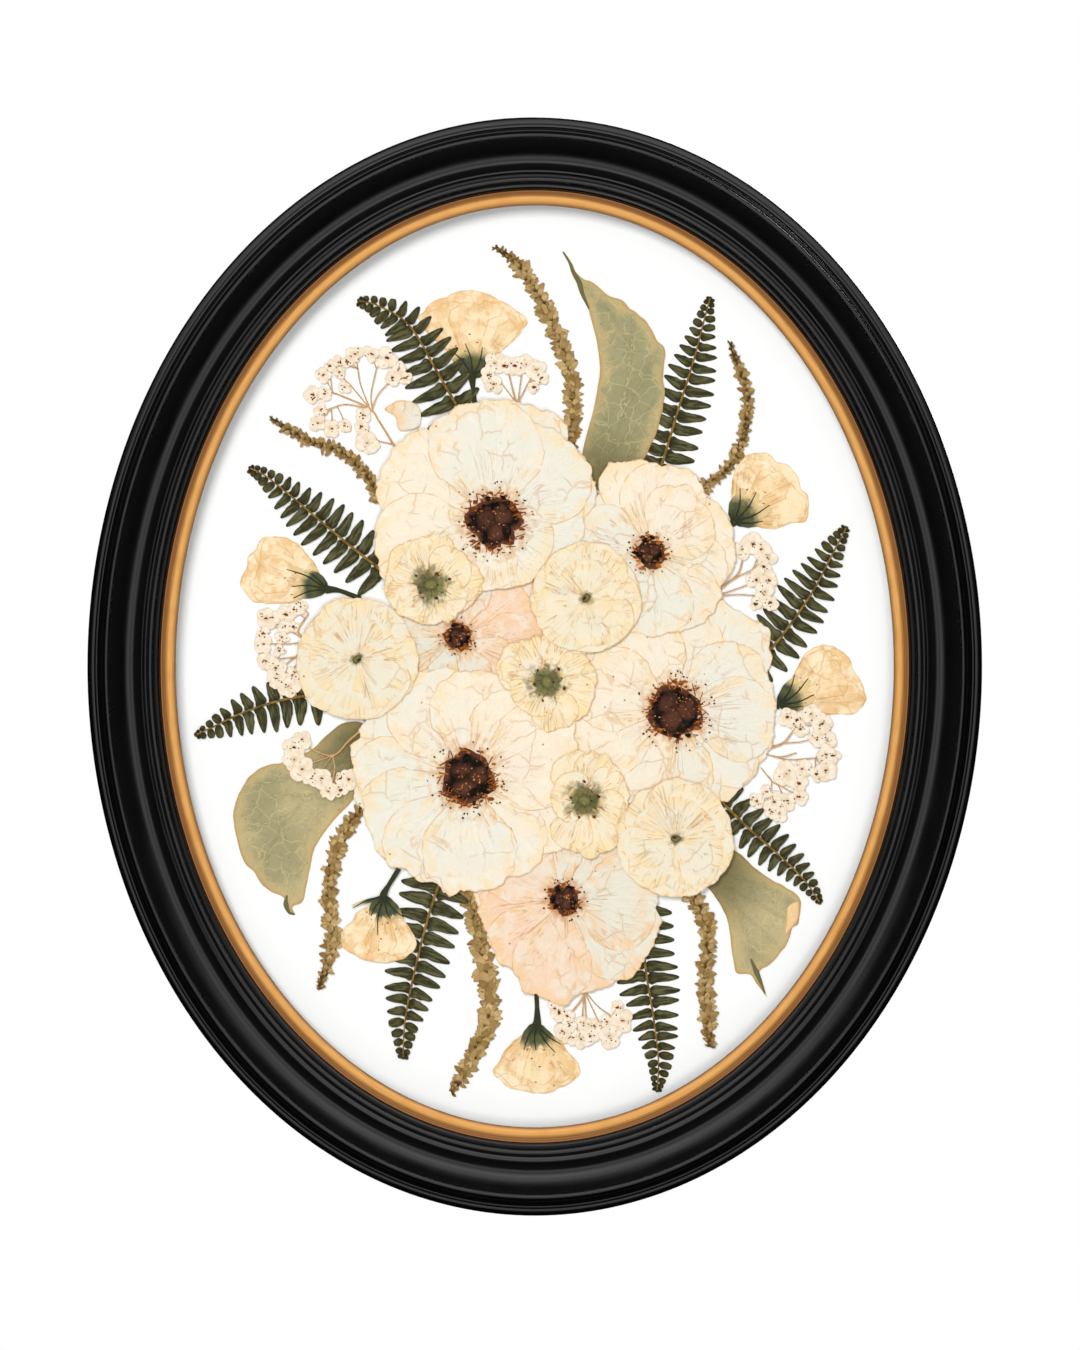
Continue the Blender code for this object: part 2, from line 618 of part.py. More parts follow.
def sawtooth_hanger():
    """A steel strip with teeth along its lower edge and a nail hole at each end."""
    width, height = HANGER_SIZE
    low = hanger_top() - height / 2
    high = low + height
    toothed = width * 0.6
    outline = [(width / 2, low), (width / 2, high), (-width / 2, high), (-width / 2, low)]
    for notch in range(HANGER_TEETH * 2 + 1):
        share = notch / HANGER_TEETH - 1
        sag = HANGER_SAG * (1 - share ** 2)
        rise = HANGER_TOOTH_DEPTH if notch % 2 else 0
        outline.append((toothed / 2 * share, low - sag + rise))
    back = -HARDWARE_GAP - HANGER_THICKNESS
    shapes = [plate("sawtooth_hanger", outline, back, HANGER_THICKNESS)]
    for x in (-HANGER_NAIL_X, HANGER_NAIL_X):
        shapes.append(button("hole", (x, hanger_top()), NAIL_HOLE_RADIUS, back - 1,
                             HANGER_THICKNESS + 2, 10, 1.0))
    return combine("sawtooth_hanger", shapes, "DIFFERENCE")


def hanger_nail(name, x):
    """A flat-headed nail, drawn as far as the paper that it goes through."""
    plate_back = -HARDWARE_GAP - HANGER_THICKNESS
    head_front = plate_back - HARDWARE_GAP
    head = button(name, (x, hanger_top()), NAIL_HEAD_RADIUS, head_front - NAIL_HEAD_THICKNESS,
                  NAIL_HEAD_THICKNESS, 10, 1.0)
    shaft_length = -HARDWARE_GAP - head_front + 0.2
    shaft = button(name, (x, hanger_top()), NAIL_SHAFT_RADIUS, head_front - 0.2, shaft_length, 6, 1.0)
    return combine(name, [head, shaft], "UNION")


def bumper(name, side):
    degrees = -90 + side * BUMPER_ANGLE
    angle = math.radians(degrees)
    centre = ((OUTER_WIDTH / 2 - HANGER_INSET) * math.cos(angle),
              (OUTER_HEIGHT / 2 - HANGER_INSET) * math.sin(angle))
    return button(name, centre, BUMPER_RADIUS, -HARDWARE_GAP - BUMPER_THICKNESS,
                  BUMPER_THICKNESS, 14, 1.0)


def oval_sheet(name, inset, layer):
    back, thickness = layer
    return plate(name, oval_outline(inset), back, thickness)


def frame_pieces():
    yield swept_ring("moulding", MOULDING_SECTION), "black_lacquer"
    yield swept_ring("gilt_lip", GILT_SECTION), "gilt"
    yield oval_sheet("glass", SHEET_INSET, GLASS), "clear_glass"
    yield oval_sheet("mount_board", SHEET_INSET, MOUNT_BOARD), "white_card"
    yield oval_sheet("backing_board", SHEET_INSET, BACKING_BOARD), "grey_board"
    yield oval_sheet("dust_cover", DUST_COVER_INSET, DUST_COVER), "kraft_paper"
    yield sawtooth_hanger(), "steel"
    yield hanger_nail("hanger_nail_left", -HANGER_NAIL_X), "steel"
    yield hanger_nail("hanger_nail_right", HANGER_NAIL_X), "steel"
    yield bumper("bumper_left", -1), "rubber"
    yield bumper("bumper_right", 1), "rubber"


def specimen_pieces():
    for name in ANEMONES:
        yield anemone(name), "blush_petal" if "blush" in name else "ivory_petal"
    for name in RANUNCULUS:
        yield ranunculus(name), "cream_petal"
    for name in BLOSSOMS:
        yield blossom(name), "cream_petal"
    for name in BUDS:
        yield bud(name), "cream_petal"
    for name in FERNS:
        yield fern(name), "fern_green"
    for name in LEAVES:
        yield leaf(name), "sage_leaf"
    for name in CATKINS:
        yield catkin(name), "tan_bract"
    for name in UMBELS:
        yield umbel(name), "white_floret"


def main():
    clear_scene()
    collection = bpy.data.collections.new("pressed_flower_frame")
    bpy.context.scene.collection.children.link(collection)
    stand = make_stand(collection)
    materials = {name: make_material(name) for name in MATERIALS}
    for makers in (frame_pieces(), specimen_pieces()):
        for solid, material in makers:
            solid.data.materials.clear()
            solid.data.materials.append(materials[material])
            bpy.context.scene.collection.objects.unlink(solid)
            collection.objects.link(solid)
            solid.parent = stand
            solid.data.shade_smooth()
            solid.data.set_sharp_from_angle(angle=math.radians(35))


main()
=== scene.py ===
"""Looks of an oval frame of pressed flowers: black moulding, gilt slip, and every plant in it.

The picture is drawn flat, in millimetres: x to the right, y up the picture, and heights towards the
viewer from the frame's back. Each piece is then stood up, with its front towards -Y.
"""
import math
import zlib

import bmesh
import bpy
import numpy as np
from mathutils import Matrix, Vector
from mathutils.geometry import delaunay_2d_cdt

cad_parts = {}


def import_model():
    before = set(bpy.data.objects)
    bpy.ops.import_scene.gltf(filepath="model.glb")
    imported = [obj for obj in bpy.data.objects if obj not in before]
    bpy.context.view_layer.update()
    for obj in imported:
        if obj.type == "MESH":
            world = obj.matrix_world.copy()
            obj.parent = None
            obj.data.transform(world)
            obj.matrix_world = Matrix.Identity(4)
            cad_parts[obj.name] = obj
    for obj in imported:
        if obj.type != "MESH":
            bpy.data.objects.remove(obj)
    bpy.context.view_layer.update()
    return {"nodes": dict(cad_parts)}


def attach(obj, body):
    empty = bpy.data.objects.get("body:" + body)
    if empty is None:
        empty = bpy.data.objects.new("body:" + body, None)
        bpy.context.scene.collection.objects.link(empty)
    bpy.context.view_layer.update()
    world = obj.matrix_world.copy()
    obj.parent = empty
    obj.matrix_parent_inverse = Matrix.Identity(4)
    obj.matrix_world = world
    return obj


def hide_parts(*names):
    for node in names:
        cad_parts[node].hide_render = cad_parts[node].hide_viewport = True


MM = 0.001

# Frame sizes, as in the solids
OUTER_WIDTH = 335.4
OUTER_HEIGHT = 411.8
RING_STEPS = 288

# Moulding section as stretches of (inset from the outer edge, height), each one smooth
MOULDING_STRETCHES = [
    [(0, 0.6), (0, 8), (0, 14.6)],
    [(0, 14.6), (0.2, 16.0), (0.9, 17.0), (1.9, 17.7), (2.7, 17.8)],
    [(2.7, 17.8), (2.9, 18.4), (3.4, 18.8), (4.0, 18.8), (4.3, 18.5)],
    [(4.3, 18.5), (4.5, 20.5), (5.0, 22.1), (5.7, 22.8), (6.2, 22.6)],
    [(6.2, 22.6), (6.35, 24.3), (6.9, 25.6), (7.7, 26.0), (8.4, 25.6), (8.8, 24.8)],
    [(8.8, 24.8), (9.8, 22.6), (11.2, 20.3), (13, 18.4), (14.8, 17.3), (16.3, 17.0)],
    [(16.3, 17.0), (17.6, 17.4), (19, 18.7), (20.2, 20.0), (20.9, 20.2), (21.6, 19.6)],
    [(21.6, 19.6), (22.3, 19.5), (23.1, 20.2), (23.8, 20.5), (24.6, 20.1), (25.2, 18.9)],
    [(25.2, 18.9), (25.7, 19.1), (26.2, 19.4), (26.8, 19.2), (27.3, 18.5)],
    [(27.3, 18.5), (27.3, 15.2)],
    [(27.3, 15.2), (32.4, 15.2)],
    [(32.4, 15.2), (32.4, 13.5)],
    [(32.4, 13.5), (27.6, 13.5)],
    [(27.6, 13.5), (27.6, 0.6)],
]
GILT_STRETCHES = [
    [(27.6, 15.5), (27.6, 17.2)],
    [(27.6, 17.2), (28.0, 17.3), (28.5, 16.9), (29.1, 16.9), (29.5, 17.3)],
    [(29.5, 17.3), (29.9, 17.7), (30.8, 17.9), (31.7, 17.8), (32.2, 17.5)],
    [(32.2, 17.5), (32.7, 17.1), (33.1, 16.4), (33.2, 15.5)],
    [(33.2, 15.5), (27.6, 15.5)],
]
SECTION_SPACING = 0.45
DUST_COVER_INSET = 4.0
DUST_COVER_THICKNESS = 0.3
DUST_COVER_EASE = 0.08

# Layers of plants behind the glass, the greens first and the flowers over them
GREEN_BACK = 5.6
GREEN_STEP = 0.5
UMBEL_LAYER = 2
FLOWER_BACK = 7.1
FLOWER_STEP = 0.8
PETAL_STEP = 0.05
SHEET_THICKNESS = 0.07

# One bud lies over a fern frond
LIFTED_BUD = "bud_lower_left"
BUD_LIFT = 0.9

# Hanging hardware behind the back face
HARDWARE_GAP = 0.3
HANGER_THICKNESS = 1.0
HANGER_INSET = 13.8
HANGER_NAIL_X = 19.5
NAIL_RADIUS = 0.8
NAIL_HEAD_RADIUS = 2.2
NAIL_HEAD_THICKNESS = 0.8
BUMPER_RADIUS = 5.0
BUMPER_THICKNESS = 2.5
BUMPER_ANGLE = 48
SPIN_STEPS = 32

# Camera: straight in front, far enough away for a long lens
VIEW_HEIGHT = 0.506
VIEW_CENTRE = (0.00197, -0.0032)
VIEW_PLANE = -0.015
CAMERA_DISTANCE = 2.6
SENSOR_HEIGHT = 24.0

# Soft lamps, all turned to the frame: place, side of the square, watts, seen in reflections
LAMPS = {
    "key": ((-0.5, -2.4, 0.65), 0.8, 40, False),
    "fill": ((0.32, -2.5, -0.5), 0.9, 22.5, False),
    "rear": ((0.7, 2.3, 0.9), 1.4, 40, True),
}
SKY_LIGHT = 0.3

# Pale floor, far enough down to stay out of the front view
FLOOR_LEVEL = -0.75
FLOOR_RADIUS = 600
FLOOR_STEPS = 96

# Anemones: middle, radius of the dark centre, layer, warmth of the petals,
# petals as (angle, length, width) back to front
ANEMONES = {
    "anemone_top": ((-15.3, 54.2), 12.3, 2, 0.15, [
        (72, 46.5, 34), (30, 41.5, 30), (150, 48, 36), (195, 46.5, 38), (225, 42, 32),
        (-8, 34.5, 34), (-62, 26, 38), (-115, 27, 32), (43, 42, 38), (95, 45.6, 44),
    ]),
    "anemone_upper_right": ((43, 42.8), 7.0, 1, 0.3, [
        (134, 29, 26), (104, 36, 24), (76, 33.5, 32), (10, 33, 34), (-25, 30.5, 28),
        (-56, 33, 30), (-85, 31.5, 30), (170, 29, 30), (-130, 29, 30), (44, 28, 30),
    ]),
    "anemone_small_blush": ((-28.8, 11.1), 6.0, 0, 0.75, [
        (4, 33.5, 20), (43, 36, 30), (18, 32, 28), (-12, 30, 26), (-52, 26, 28), (-95, 24, 28),
        (-140, 27, 28), (178, 28, 28), (130, 26, 28), (92, 27, 26),
    ]),
    "anemone_right": ((52.9, -16.9), 12.4, 0, 0.25, [
        (146, 39.5, 26), (55, 44.5, 40), (90, 40, 36), (-32, 38, 34), (-60, 38.5, 32), (-95, 38, 34),
        (-126, 39.5, 34), (-163, 42.5, 34), (125, 38, 36), (160, 38, 32), (22, 38, 38), (-5, 38, 32),
    ]),
    "anemone_left": ((-25.1, -41.8), 12.2, 1, 0.3, [
        (155, 44.5, 36), (182, 43, 32), (115, 43.5, 38), (83, 40.5, 36), (-28, 44, 30),
        (48, 37.5, 32), (-60, 41.5, 32), (-150, 43, 36), (-120, 43, 34), (-89, 43, 36),
        (16, 43, 40),
    ]),
    "anemone_lower_blush": ((11.2, -87.6), 6.8, 0, 0.7, [
        (170, 34.5, 30), (-160, 33, 28), (-135, 33.5, 26), (35, 34, 32), (75, 32, 30),
        (112, 32, 30), (145, 33, 28), (-66, 36.5, 30), (-36, 38.5, 34), (-102, 38, 30),
        (-3, 35.5, 36),
    ]),
}

# The side of each anemone where its petals are warmest, in degrees
WARM_SIDE = {"anemone_top": 195, "anemone_upper_right": 60, "anemone_small_blush": 10,
             "anemone_right": 175, "anemone_left": 20, "anemone_lower_blush": 200}

# Ranunculus: middle, radius, layer, how warm its cream is
RANUNCULUS = {
    "ranunculus_middle": ((19.3, 25.7), 21.0, 3, 0.6),
    "ranunculus_left": ((-66.7, 2.7), 23.2, 2, 0.1),
    "ranunculus_right": ((52.9, -64.7), 22.2, 3, 0.5),
}

# Small blossoms: middle, layer, petals as (angle, length, width) back to front
BLOSSOMS = {
    "blossom_upper": ((-39, 30.6), 3, [
        (5, 19.5, 16), (-48, 15, 16), (185, 17.5, 18), (-110, 15, 18), (-152, 17, 16),
        (135, 19, 18), (86, 18.5, 20), (42, 17, 18),
    ]),
    "blossom_middle": ((4.6, -5.9), 2, [
        (150, 20, 20), (105, 17.5, 16), (60, 19, 18), (15, 18.5, 18), (-28, 19, 18),
        (-75, 18.5, 18), (-140, 14, 20),
    ]),
    "blossom_lower": ((18.8, -50.5), 2, [
        (110, 19, 18), (65, 18.5, 18), (22, 17, 18), (-22, 15.5, 16), (-70, 21, 20),
        (-112, 20, 16), (165, 13, 20),
    ]),
}

# Buds: outline of the petals, root of the petals, stem line, sepals as (angle, length, width)
BUDS = {
    "bud_top": (
        [(-43.5, 131), (-39.5, 136.5), (-33.5, 139), (-28.5, 141), (-23, 141.5), (-16.5, 139.5),
         (-10, 136), (-3, 131), (-4.5, 127), (-8.5, 122), (-13, 118.5), (-18, 116.5), (-23, 112),
         (-29, 116), (-32, 120), (-39, 124), (-43, 128.5)],
        (-23.5, 109), [(-23, 110.5), (-23.5, 107), (-22.5, 98)],
        [(125, 14, 7), (97, 13, 7), (66, 12, 7), (42, 10, 5)]),
    "bud_left": (
        [(-111, 31.5), (-108.5, 37), (-108, 41), (-105, 44), (-102.5, 48.5), (-97.5, 49),
         (-93, 48.5), (-88.5, 45.5), (-85, 41.5), (-82, 37.5), (-80, 33), (-79.5, 28.5),
         (-85.5, 26), (-91.5, 24), (-96.5, 23.5), (-103, 24), (-106, 24.5), (-109, 27.5)],
        (-78.5, 29), [(-80, 29.3), (-73.5, 28.5), (-65.5, 25.5)],
        [(148, 17, 4.5), (170, 13, 6), (190, 13, 5), (130, 9, 5)]),
    "bud_upper_right": (
        [(74.5, 58), (74, 65), (74.5, 71.5), (77.5, 78), (82, 80), (88, 80), (91, 77),
         (95.5, 75.5), (99, 71), (100, 67), (103, 63.5), (102, 55), (97, 54), (92, 52),
         (88, 52), (82.5, 52.5), (77.5, 53.5)],
        (75, 54.5), [(78, 56), (74, 53.5), (68, 48.5)],
        [(75, 13, 7), (48, 14, 8), (20, 15, 7), (-4, 11, 4)]),
    "bud_right": (
        [(92.5, -12), (95.5, -6.5), (98.5, -0.5), (102.5, 5.5), (106.5, 7.5), (111, 8),
         (115, 6), (118.5, 3), (120, -1.5), (122.5, -5), (124, -9.5), (124.5, -13),
         (122.5, -16), (120, -18), (114.5, -18), (108.5, -18), (104, -15.7), (99, -15.5),
         (95, -15.5)],
        (92, -14.5), [(94, -14), (90, -14.5), (84, -14.5)],
        [(58, 13, 6), (38, 15, 7), (12, 14, 7), (-8, 9, 4)]),
    "bud_lower_left": (
        [(-57.5, -88), (-62, -90), (-67, -92.5), (-69, -96.5), (-72.5, -99.5), (-72.5, -105),
         (-68.5, -108), (-63, -110.5), (-57.5, -111.5), (-53, -111), (-48, -109),
         (-44.5, -105.5), (-45, -102), (-47.5, -97.5), (-50.5, -93.5), (-53.5, -90.5)],
        (-56.5, -86.5), [(-56.5, -89), (-56.5, -85), (-51, -76)],
        [(-165, 13, 1.6), (-130, 9, 5), (-105, 15, 2.4), (-80, 9, 6), (-52, 11, 4)]),
    "bud_bottom": (
        [(0.5, -135.5), (-4.5, -139), (-8.5, -141), (-12, -146), (-13.5, -148.5), (-16, -152.5),
         (-13.5, -155), (-10, -158), (-4.5, -159.5), (1, -160.5), (6, -160), (9, -158.5),
         (12, -157.5), (15, -155), (17, -152.5), (16, -148.5), (13, -145.5), (10.5, -141.5),
         (7.5, -139)],
        (0.8, -134.5), [(1, -137), (1, -132.5), (0.5, -118)],
        [(-122, 11, 6), (-97, 10, 6), (-62, 13, 5), (-45, 12, 3)]),
}

# Fern fronds: midrib from base to tip, leaflet pairs, longest left and right leaflet, layer
FERNS = {
    "fern_top": ([(-25.5, 91.5), (-36, 109.5), (-47, 128), (-58.5, 135.5), (-66, 137.5)],
                 15, 13.6, 10.6, 1),
    "fern_upper_left": ([(-55, 34), (-72, 47.5), (-88, 61), (-101, 71.5), (-107, 74.5)],
                        16, 12.0, 9.9, 1),
    "fern_upper_right": ([(46.5, 71.5), (53.5, 95), (60, 116), (64, 131.5), (66, 138.5)],
                         17, 9.8, 11.2, 0),
    "fern_right": ([(81, 1), (90, 8), (103.5, 26.5), (111, 40.5), (117, 52)],
                   16, 12.2, 10.0, 1),
    "fern_left": ([(-78.5, -10), (-94.5, -12.5), (-109, -17), (-120.5, -22.5), (-127, -25.5)],
                  12, 10.8, 8.2, 1),
    "fern_lower_right": ([(68.5, -49), (79.5, -60), (92.5, -71.5), (101.5, -80.5), (107, -88.5)],
                         14, 9.2, 8.2, 1),
    "fern_bottom_left": ([(-35.5, -80), (-41, -97.5), (-46.5, -120.5), (-49, -135), (-49.5, -147)],
                         15, 11.8, 13.0, 1),
    "fern_bottom_right": ([(40, -88), (41.5, -112), (44.5, -131), (46.5, -148), (46, -159.5)],
                          18, 11.6, 11.0, 0),
}

# How strongly the pairs of leaflets crowd towards the tip, and the steps of a midrib
LEAFLET_CROWDING = 1.4
MIDRIB_STEPS = 200

# Leaves: outline, veins as lines, layer
LEAVES = {
    "leaf_top": ([
        (10.5, 156), (12.2, 153.6), (14.2, 151.2), (15.4, 148.4), (18.4, 145.8), (22.5, 144),
        (28, 139.5), (32.5, 138), (36, 134.5),
        (39.5, 132), (43.5, 127.5), (46, 122.5), (49, 119), (48, 108), (49, 102.5), (46.5, 90.5),
        (44.5, 85.5), (40.5, 77.5), (33, 72), (23.5, 66), (20.5, 72), (18, 79), (19.5, 87),
        (22, 96), (23.5, 104), (24.5, 112), (23.5, 121), (22, 127.5), (19, 138), (17, 142),
        (14.2, 147), (12.9, 151), (11.5, 153.8)],
        [[(24, 66), (30, 84), (35, 106), (33, 125), (20, 144)], [(28, 80), (40, 92), (47, 104)],
         [(32, 94), (42, 110), (46, 120)], [(29.5, 84), (25, 100), (25, 118)],
         [(33.5, 100), (36, 116), (37, 132)], [(25, 72), (36, 80), (44, 88)]], 1),
    "leaf_left": ([
        (-63, -23.5), (-70.5, -21), (-75.5, -23.5), (-82.5, -30), (-88.5, -34), (-94.5, -36),
        (-100, -37), (-104.5, -39), (-109, -43.5), (-112, -50.5), (-113.5, -56.5),
        (-112.5, -63.5), (-111, -69), (-109, -74), (-106, -77), (-101.5, -83), (-97.5, -85.5),
        (-94, -87.5), (-92.5, -92.5), (-90, -93.5), (-91.2, -90.5), (-87.5, -88.5), (-86, -83),
        (-84.5, -75.5), (-83, -69), (-80, -63.5), (-75, -57), (-70.5, -52.5), (-67, -48),
        (-62.5, -41.5)],
        [[(-63, -30), (-77, -38), (-92, -42), (-108, -45)], [(-77, -38), (-81, -48), (-81, -66)],
         [(-81, -46), (-92, -56), (-100, -70), (-101, -81)], [(-84, -50), (-96, -48), (-110, -56)],
         [(-81, -60), (-88, -76), (-92, -88)], [(-92, -56), (-104, -60), (-112, -62)],
         [(-70, -34), (-70, -44), (-73, -54)]], 0),
    "leaf_lower_right": ([
        (63, -79.5), (66, -74.5), (70.5, -70), (74.5, -69), (79.5, -72.5), (83, -76), (87, -79),
        (91.5, -81.5), (96, -84), (100, -88), (99, -96.5), (97, -98), (96, -101.5),
        (94, -105.5), (91.5, -108.5), (89, -111.5), (85, -114), (84, -117), (85.5, -121),
        (87.5, -124.5), (83.5, -119.5), (81, -116), (76, -115.5), (75, -112), (74, -107),
        (73.5, -101.5), (72.5, -95.5), (70, -90), (67, -85.5)],
        [[(66, -76), (74, -90), (80, -102), (82.5, -115)], [(70, -82), (82, -88), (96, -96)],
         [(74, -90), (84, -98), (92, -106)], [(68, -78), (80, -80), (92, -85)]], 0),
}

# The folded dark tips of the leaves, and the pale corner that one of them turns over
LEAF_TIPS = {
    "leaf_top": [(10.6, 155.9), (13.1, 152), (14.3, 148.6), (16.6, 144.6), (17.9, 140.2),
                 (20.4, 134.5)],
    "leaf_left": [(-90.2, -93.2), (-92.4, -92.4), (-93.6, -89.2), (-93.2, -86)],
    "leaf_lower_right": [(86.6, -123), (85.1, -119), (83.4, -115), (81.2, -110)],
}
LEAF_FLAPS = {
    "leaf_lower_right": [(95.2, -90.5), (99, -88.6), (99.2, -94.2), (97, -97.6), (94.5, -100.2),
                         (94.6, -96)],
}

# Catkins: line, width at start, middle and end, layer
CATKINS = {
    "catkin_top": ([(-14.5, 157.5), (-4.5, 149), (6, 130), (12.5, 113.5), (14.5, 100), (13.5, 83.5)],
                   (3, 8, 8), 0),
    "catkin_upper_left": ([(-99, 93), (-85.5, 85), (-72, 80.5), (-62.5, 71), (-58.5, 62)],
                          (2.5, 6, 7.5), 1),
    "catkin_upper_right": ([(73.5, 121.5), (79.5, 104), (79, 89), (74, 76.5), (62, 66)],
                           (2.5, 6, 6.5), 1),
    "catkin_lower_left": ([(-63.5, -51.5), (-73.5, -66.5), (-77.5, -85), (-76, -104), (-81, -121)],
                          (5.5, 8, 4), 1),
    "catkin_bottom": ([(-25, -84.5), (-20, -107), (-17, -130), (-24, -148), (-31.5, -160)],
                      (9, 9.5, 4.5), 0),
    "catkin_lower_right": ([(56.5, -81), (64.5, -97), (64.5, -113), (64.5, -128), (66, -143)],
                           (7, 8, 4), 1),
}

# Distance between the whorls of bracts along a catkin
WHORL_SPACING = 2.0

# Umbels: florets as (x, y, radius), then stems as lines
UMBELS = {
    "umbel_upper_left": (
        [(-83.5, 102, 3), (-79, 102.5, 2.6), (-80.5, 96.5, 2.6), (-81.5, 91.5, 2.8),
         (-76.5, 89.5, 3.1), (-71.5, 90.5, 2.3), (-79.5, 109.5, 2.8), (-77, 113, 2.2),
         (-74, 114.5, 2), (-73.5, 110.5, 2.2), (-70.5, 114.5, 2.2), (-67.5, 117.5, 3),
         (-61.5, 117.5, 3), (-55.5, 116, 4), (-51, 112, 2.5), (-53.5, 108.5, 2.8),
         (-48.5, 108.5, 2.2), (-64.5, 94.5, 2.8), (-65, 90, 2.8), (-63, 84, 3.9),
         (-71.5, 105, 2.2)],
        [[(-52.5, 82.5), (-59, 93), (-62, 97), (-72, 101.5), (-76, 103)],
         [(-62, 97), (-67, 98), (-72, 98.5), (-76.5, 97)], [(-62, 97), (-69, 105.5)],
         [(-62, 97), (-65.5, 106), (-66.5, 112)], [(-61, 96), (-61.5, 102.5), (-59.5, 112)],
         [(-61, 97), (-59, 102), (-55.5, 106)], [(-53, 83.5), (-59, 85), (-62, 88)]]),
    "umbel_top": (
        [(-15, 114, 3.7), (-17.5, 109.5, 2.9), (-15.5, 106, 3.4), (-11.5, 113, 3.2),
         (-7.5, 113, 3.2), (-3.5, 113.5, 3.4), (0.5, 111.5, 3.7), (2.5, 108.5, 2.4),
         (-0.5, 105, 2.1)],
        [[(-6.5, 97), (-8.5, 105), (-10, 111)], [(-6.5, 98), (-5, 109.5)],
         [(-6.8, 99), (-12.5, 106.5)], [(-6.3, 99), (-2.5, 106.5)]]),
    "umbel_left": (
        [(-101, 18, 3.5), (-98.5, 18.5, 2.6), (-102, 12.5, 2.6), (-102, 8.5, 3.3),
         (-93.5, 19.5, 3), (-90.5, 21.5, 2.4), (-88, 22.5, 2.4), (-94, 15, 2.4), (-90.5, 15, 2),
         (-95, 11, 2.4), (-96, 6, 2.4), (-101, 2, 3), (-97.5, -0.5, 3.7), (-97, -4.5, 3.3),
         (-92.5, -7.5, 3.9), (-91, -3, 2.4)],
        [[(-84, 9.5), (-89, 13), (-85, 20)], [(-85.5, 9.5), (-91.5, 13), (-98, 15)],
         [(-84, 9.5), (-92.5, 8.5), (-98.5, 8.5)], [(-87, 4), (-95, 3), (-98.5, 3)],
         [(-89, 4.5), (-94.5, 0)], [(-87, 4.5), (-90.5, -0.5)]]),
    "umbel_upper_right": (
        [(78, 44, 3.4), (82, 46, 3.8), (85, 44, 3.4), (87.5, 41, 3.1), (86, 37.5, 3.1),
         (83.5, 32.5, 3.8), (88, 32.5, 3.1), (86.5, 28, 3.8), (88.5, 24, 2.7), (83, 23.5, 2.3)],
        [[(66, 26), (72, 31), (76.5, 35), (78, 39.5)], [(72, 31), (76, 33.5), (82, 36.5)],
         [(68, 26.5), (79.5, 30.5), (83.5, 33.5)], [(68, 26.2), (76, 27), (84, 26.5)]]),
    "umbel_right": (
        [(95, -19, 3.4), (98.5, -20, 2.6), (104, -18, 3.4), (108, -21.5, 3.7), (100, -23.5, 2.9),
         (106, -27.5, 2.9), (110, -28, 3.2), (109.5, -33, 3.4), (112, -33.5, 2.6),
         (109.5, -39, 3.7), (106, -40.5, 2.6), (100.5, -38.5, 3.2), (94.5, -40.5, 4.3),
         (99.5, -44, 3.2), (99.5, -49, 2.9), (95, -50.5, 3.4), (90, -51, 3.7),
         (83.5, -50.5, 2.6), (87, -47, 2.3), (92, -55.5, 2.9), (89, -54.5, 2.6)],
        [[(84.5, -31.5), (93, -29), (98, -23)], [(87, -31), (93, -29), (99.5, -28.5)],
         [(86.5, -33), (92.5, -34), (98.5, -32.5)], [(88, -33.3), (95, -35), (105.5, -34.5)],
         [(85, -38), (89, -43), (91.5, -44.5)], [(87, -40.5), (89, -43), (88.5, -47.5)]]),
    "umbel_lower_left": (
        [(-87.5, -27.5, 3.3), (-90.5, -30.5, 3.7), (-90.5, -35, 4.1), (-87.5, -38.5, 4.3),
         (-84, -42, 3), (-80, -42, 3.6), (-77.5, -47, 3.1), (-73, -46.5, 2.6),
         (-70, -42.5, 3.7), (-73, -42, 2.2)],
        [[(-63, -22), (-70, -28), (-76, -33.5), (-85.5, -30.5)], [(-76, -33.5), (-84.5, -36.5)],
         [(-76, -33.5), (-80, -38.5)], [(-76, -33.5), (-75.2, -38), (-76, -43)]]),
    "umbel_bottom": (
        [(7.5, -128.5, 2.9), (9, -130.5, 2.6), (12, -131.5, 2.6), (10.5, -137, 3.2),
         (13.5, -139.5, 3.2), (13, -135, 2.6), (17.5, -140, 3.4), (21, -139, 2.9),
         (18.5, -134, 2.6), (22.5, -135, 2.6), (28, -139, 4.2), (33, -133, 4.2),
         (31, -128, 2.4), (27, -133.5, 2.6)],
        [[(18.5, -117), (18.5, -123.5), (13.5, -130.5)], [(18.5, -123), (17.5, -137)],
         [(18.7, -123), (19.5, -135)], [(18.8, -122.5), (24, -133.5)],
         [(18.8, -122), (24, -128), (30, -132)]]),
}

# A pressed petal that lies loose beside one umbel and is stuck to its stalk
LOOSE_PETAL_UMBEL = "umbel_upper_left"
LOOSE_PETAL = [(-56.5, 96.5), (-54, 98.5), (-51, 100), (-46.5, 99.5), (-43.5, 97.5), (-42.8, 93),
               (-44, 90), (-49.5, 88.6), (-51.5, 89.5), (-52.5, 94)]

# Values painted on the points of every piece, for the materials to read
VALUES = ("rim", "out", "turn", "tint", "seed", "stain", "lip", "side")

# Smooth random ground repeats after this many hills, and random numbers start below this seed
GROUND_SIZE = 64
SEED_LIMIT = 99991

# Steps of a smooth curve between two points of a line or an outline, and the smallest numbers
LINE_STEPS = 16
OUTLINE_STEPS = 12
TINY = 1e-9
MERGE_DISTANCE = 1e-5

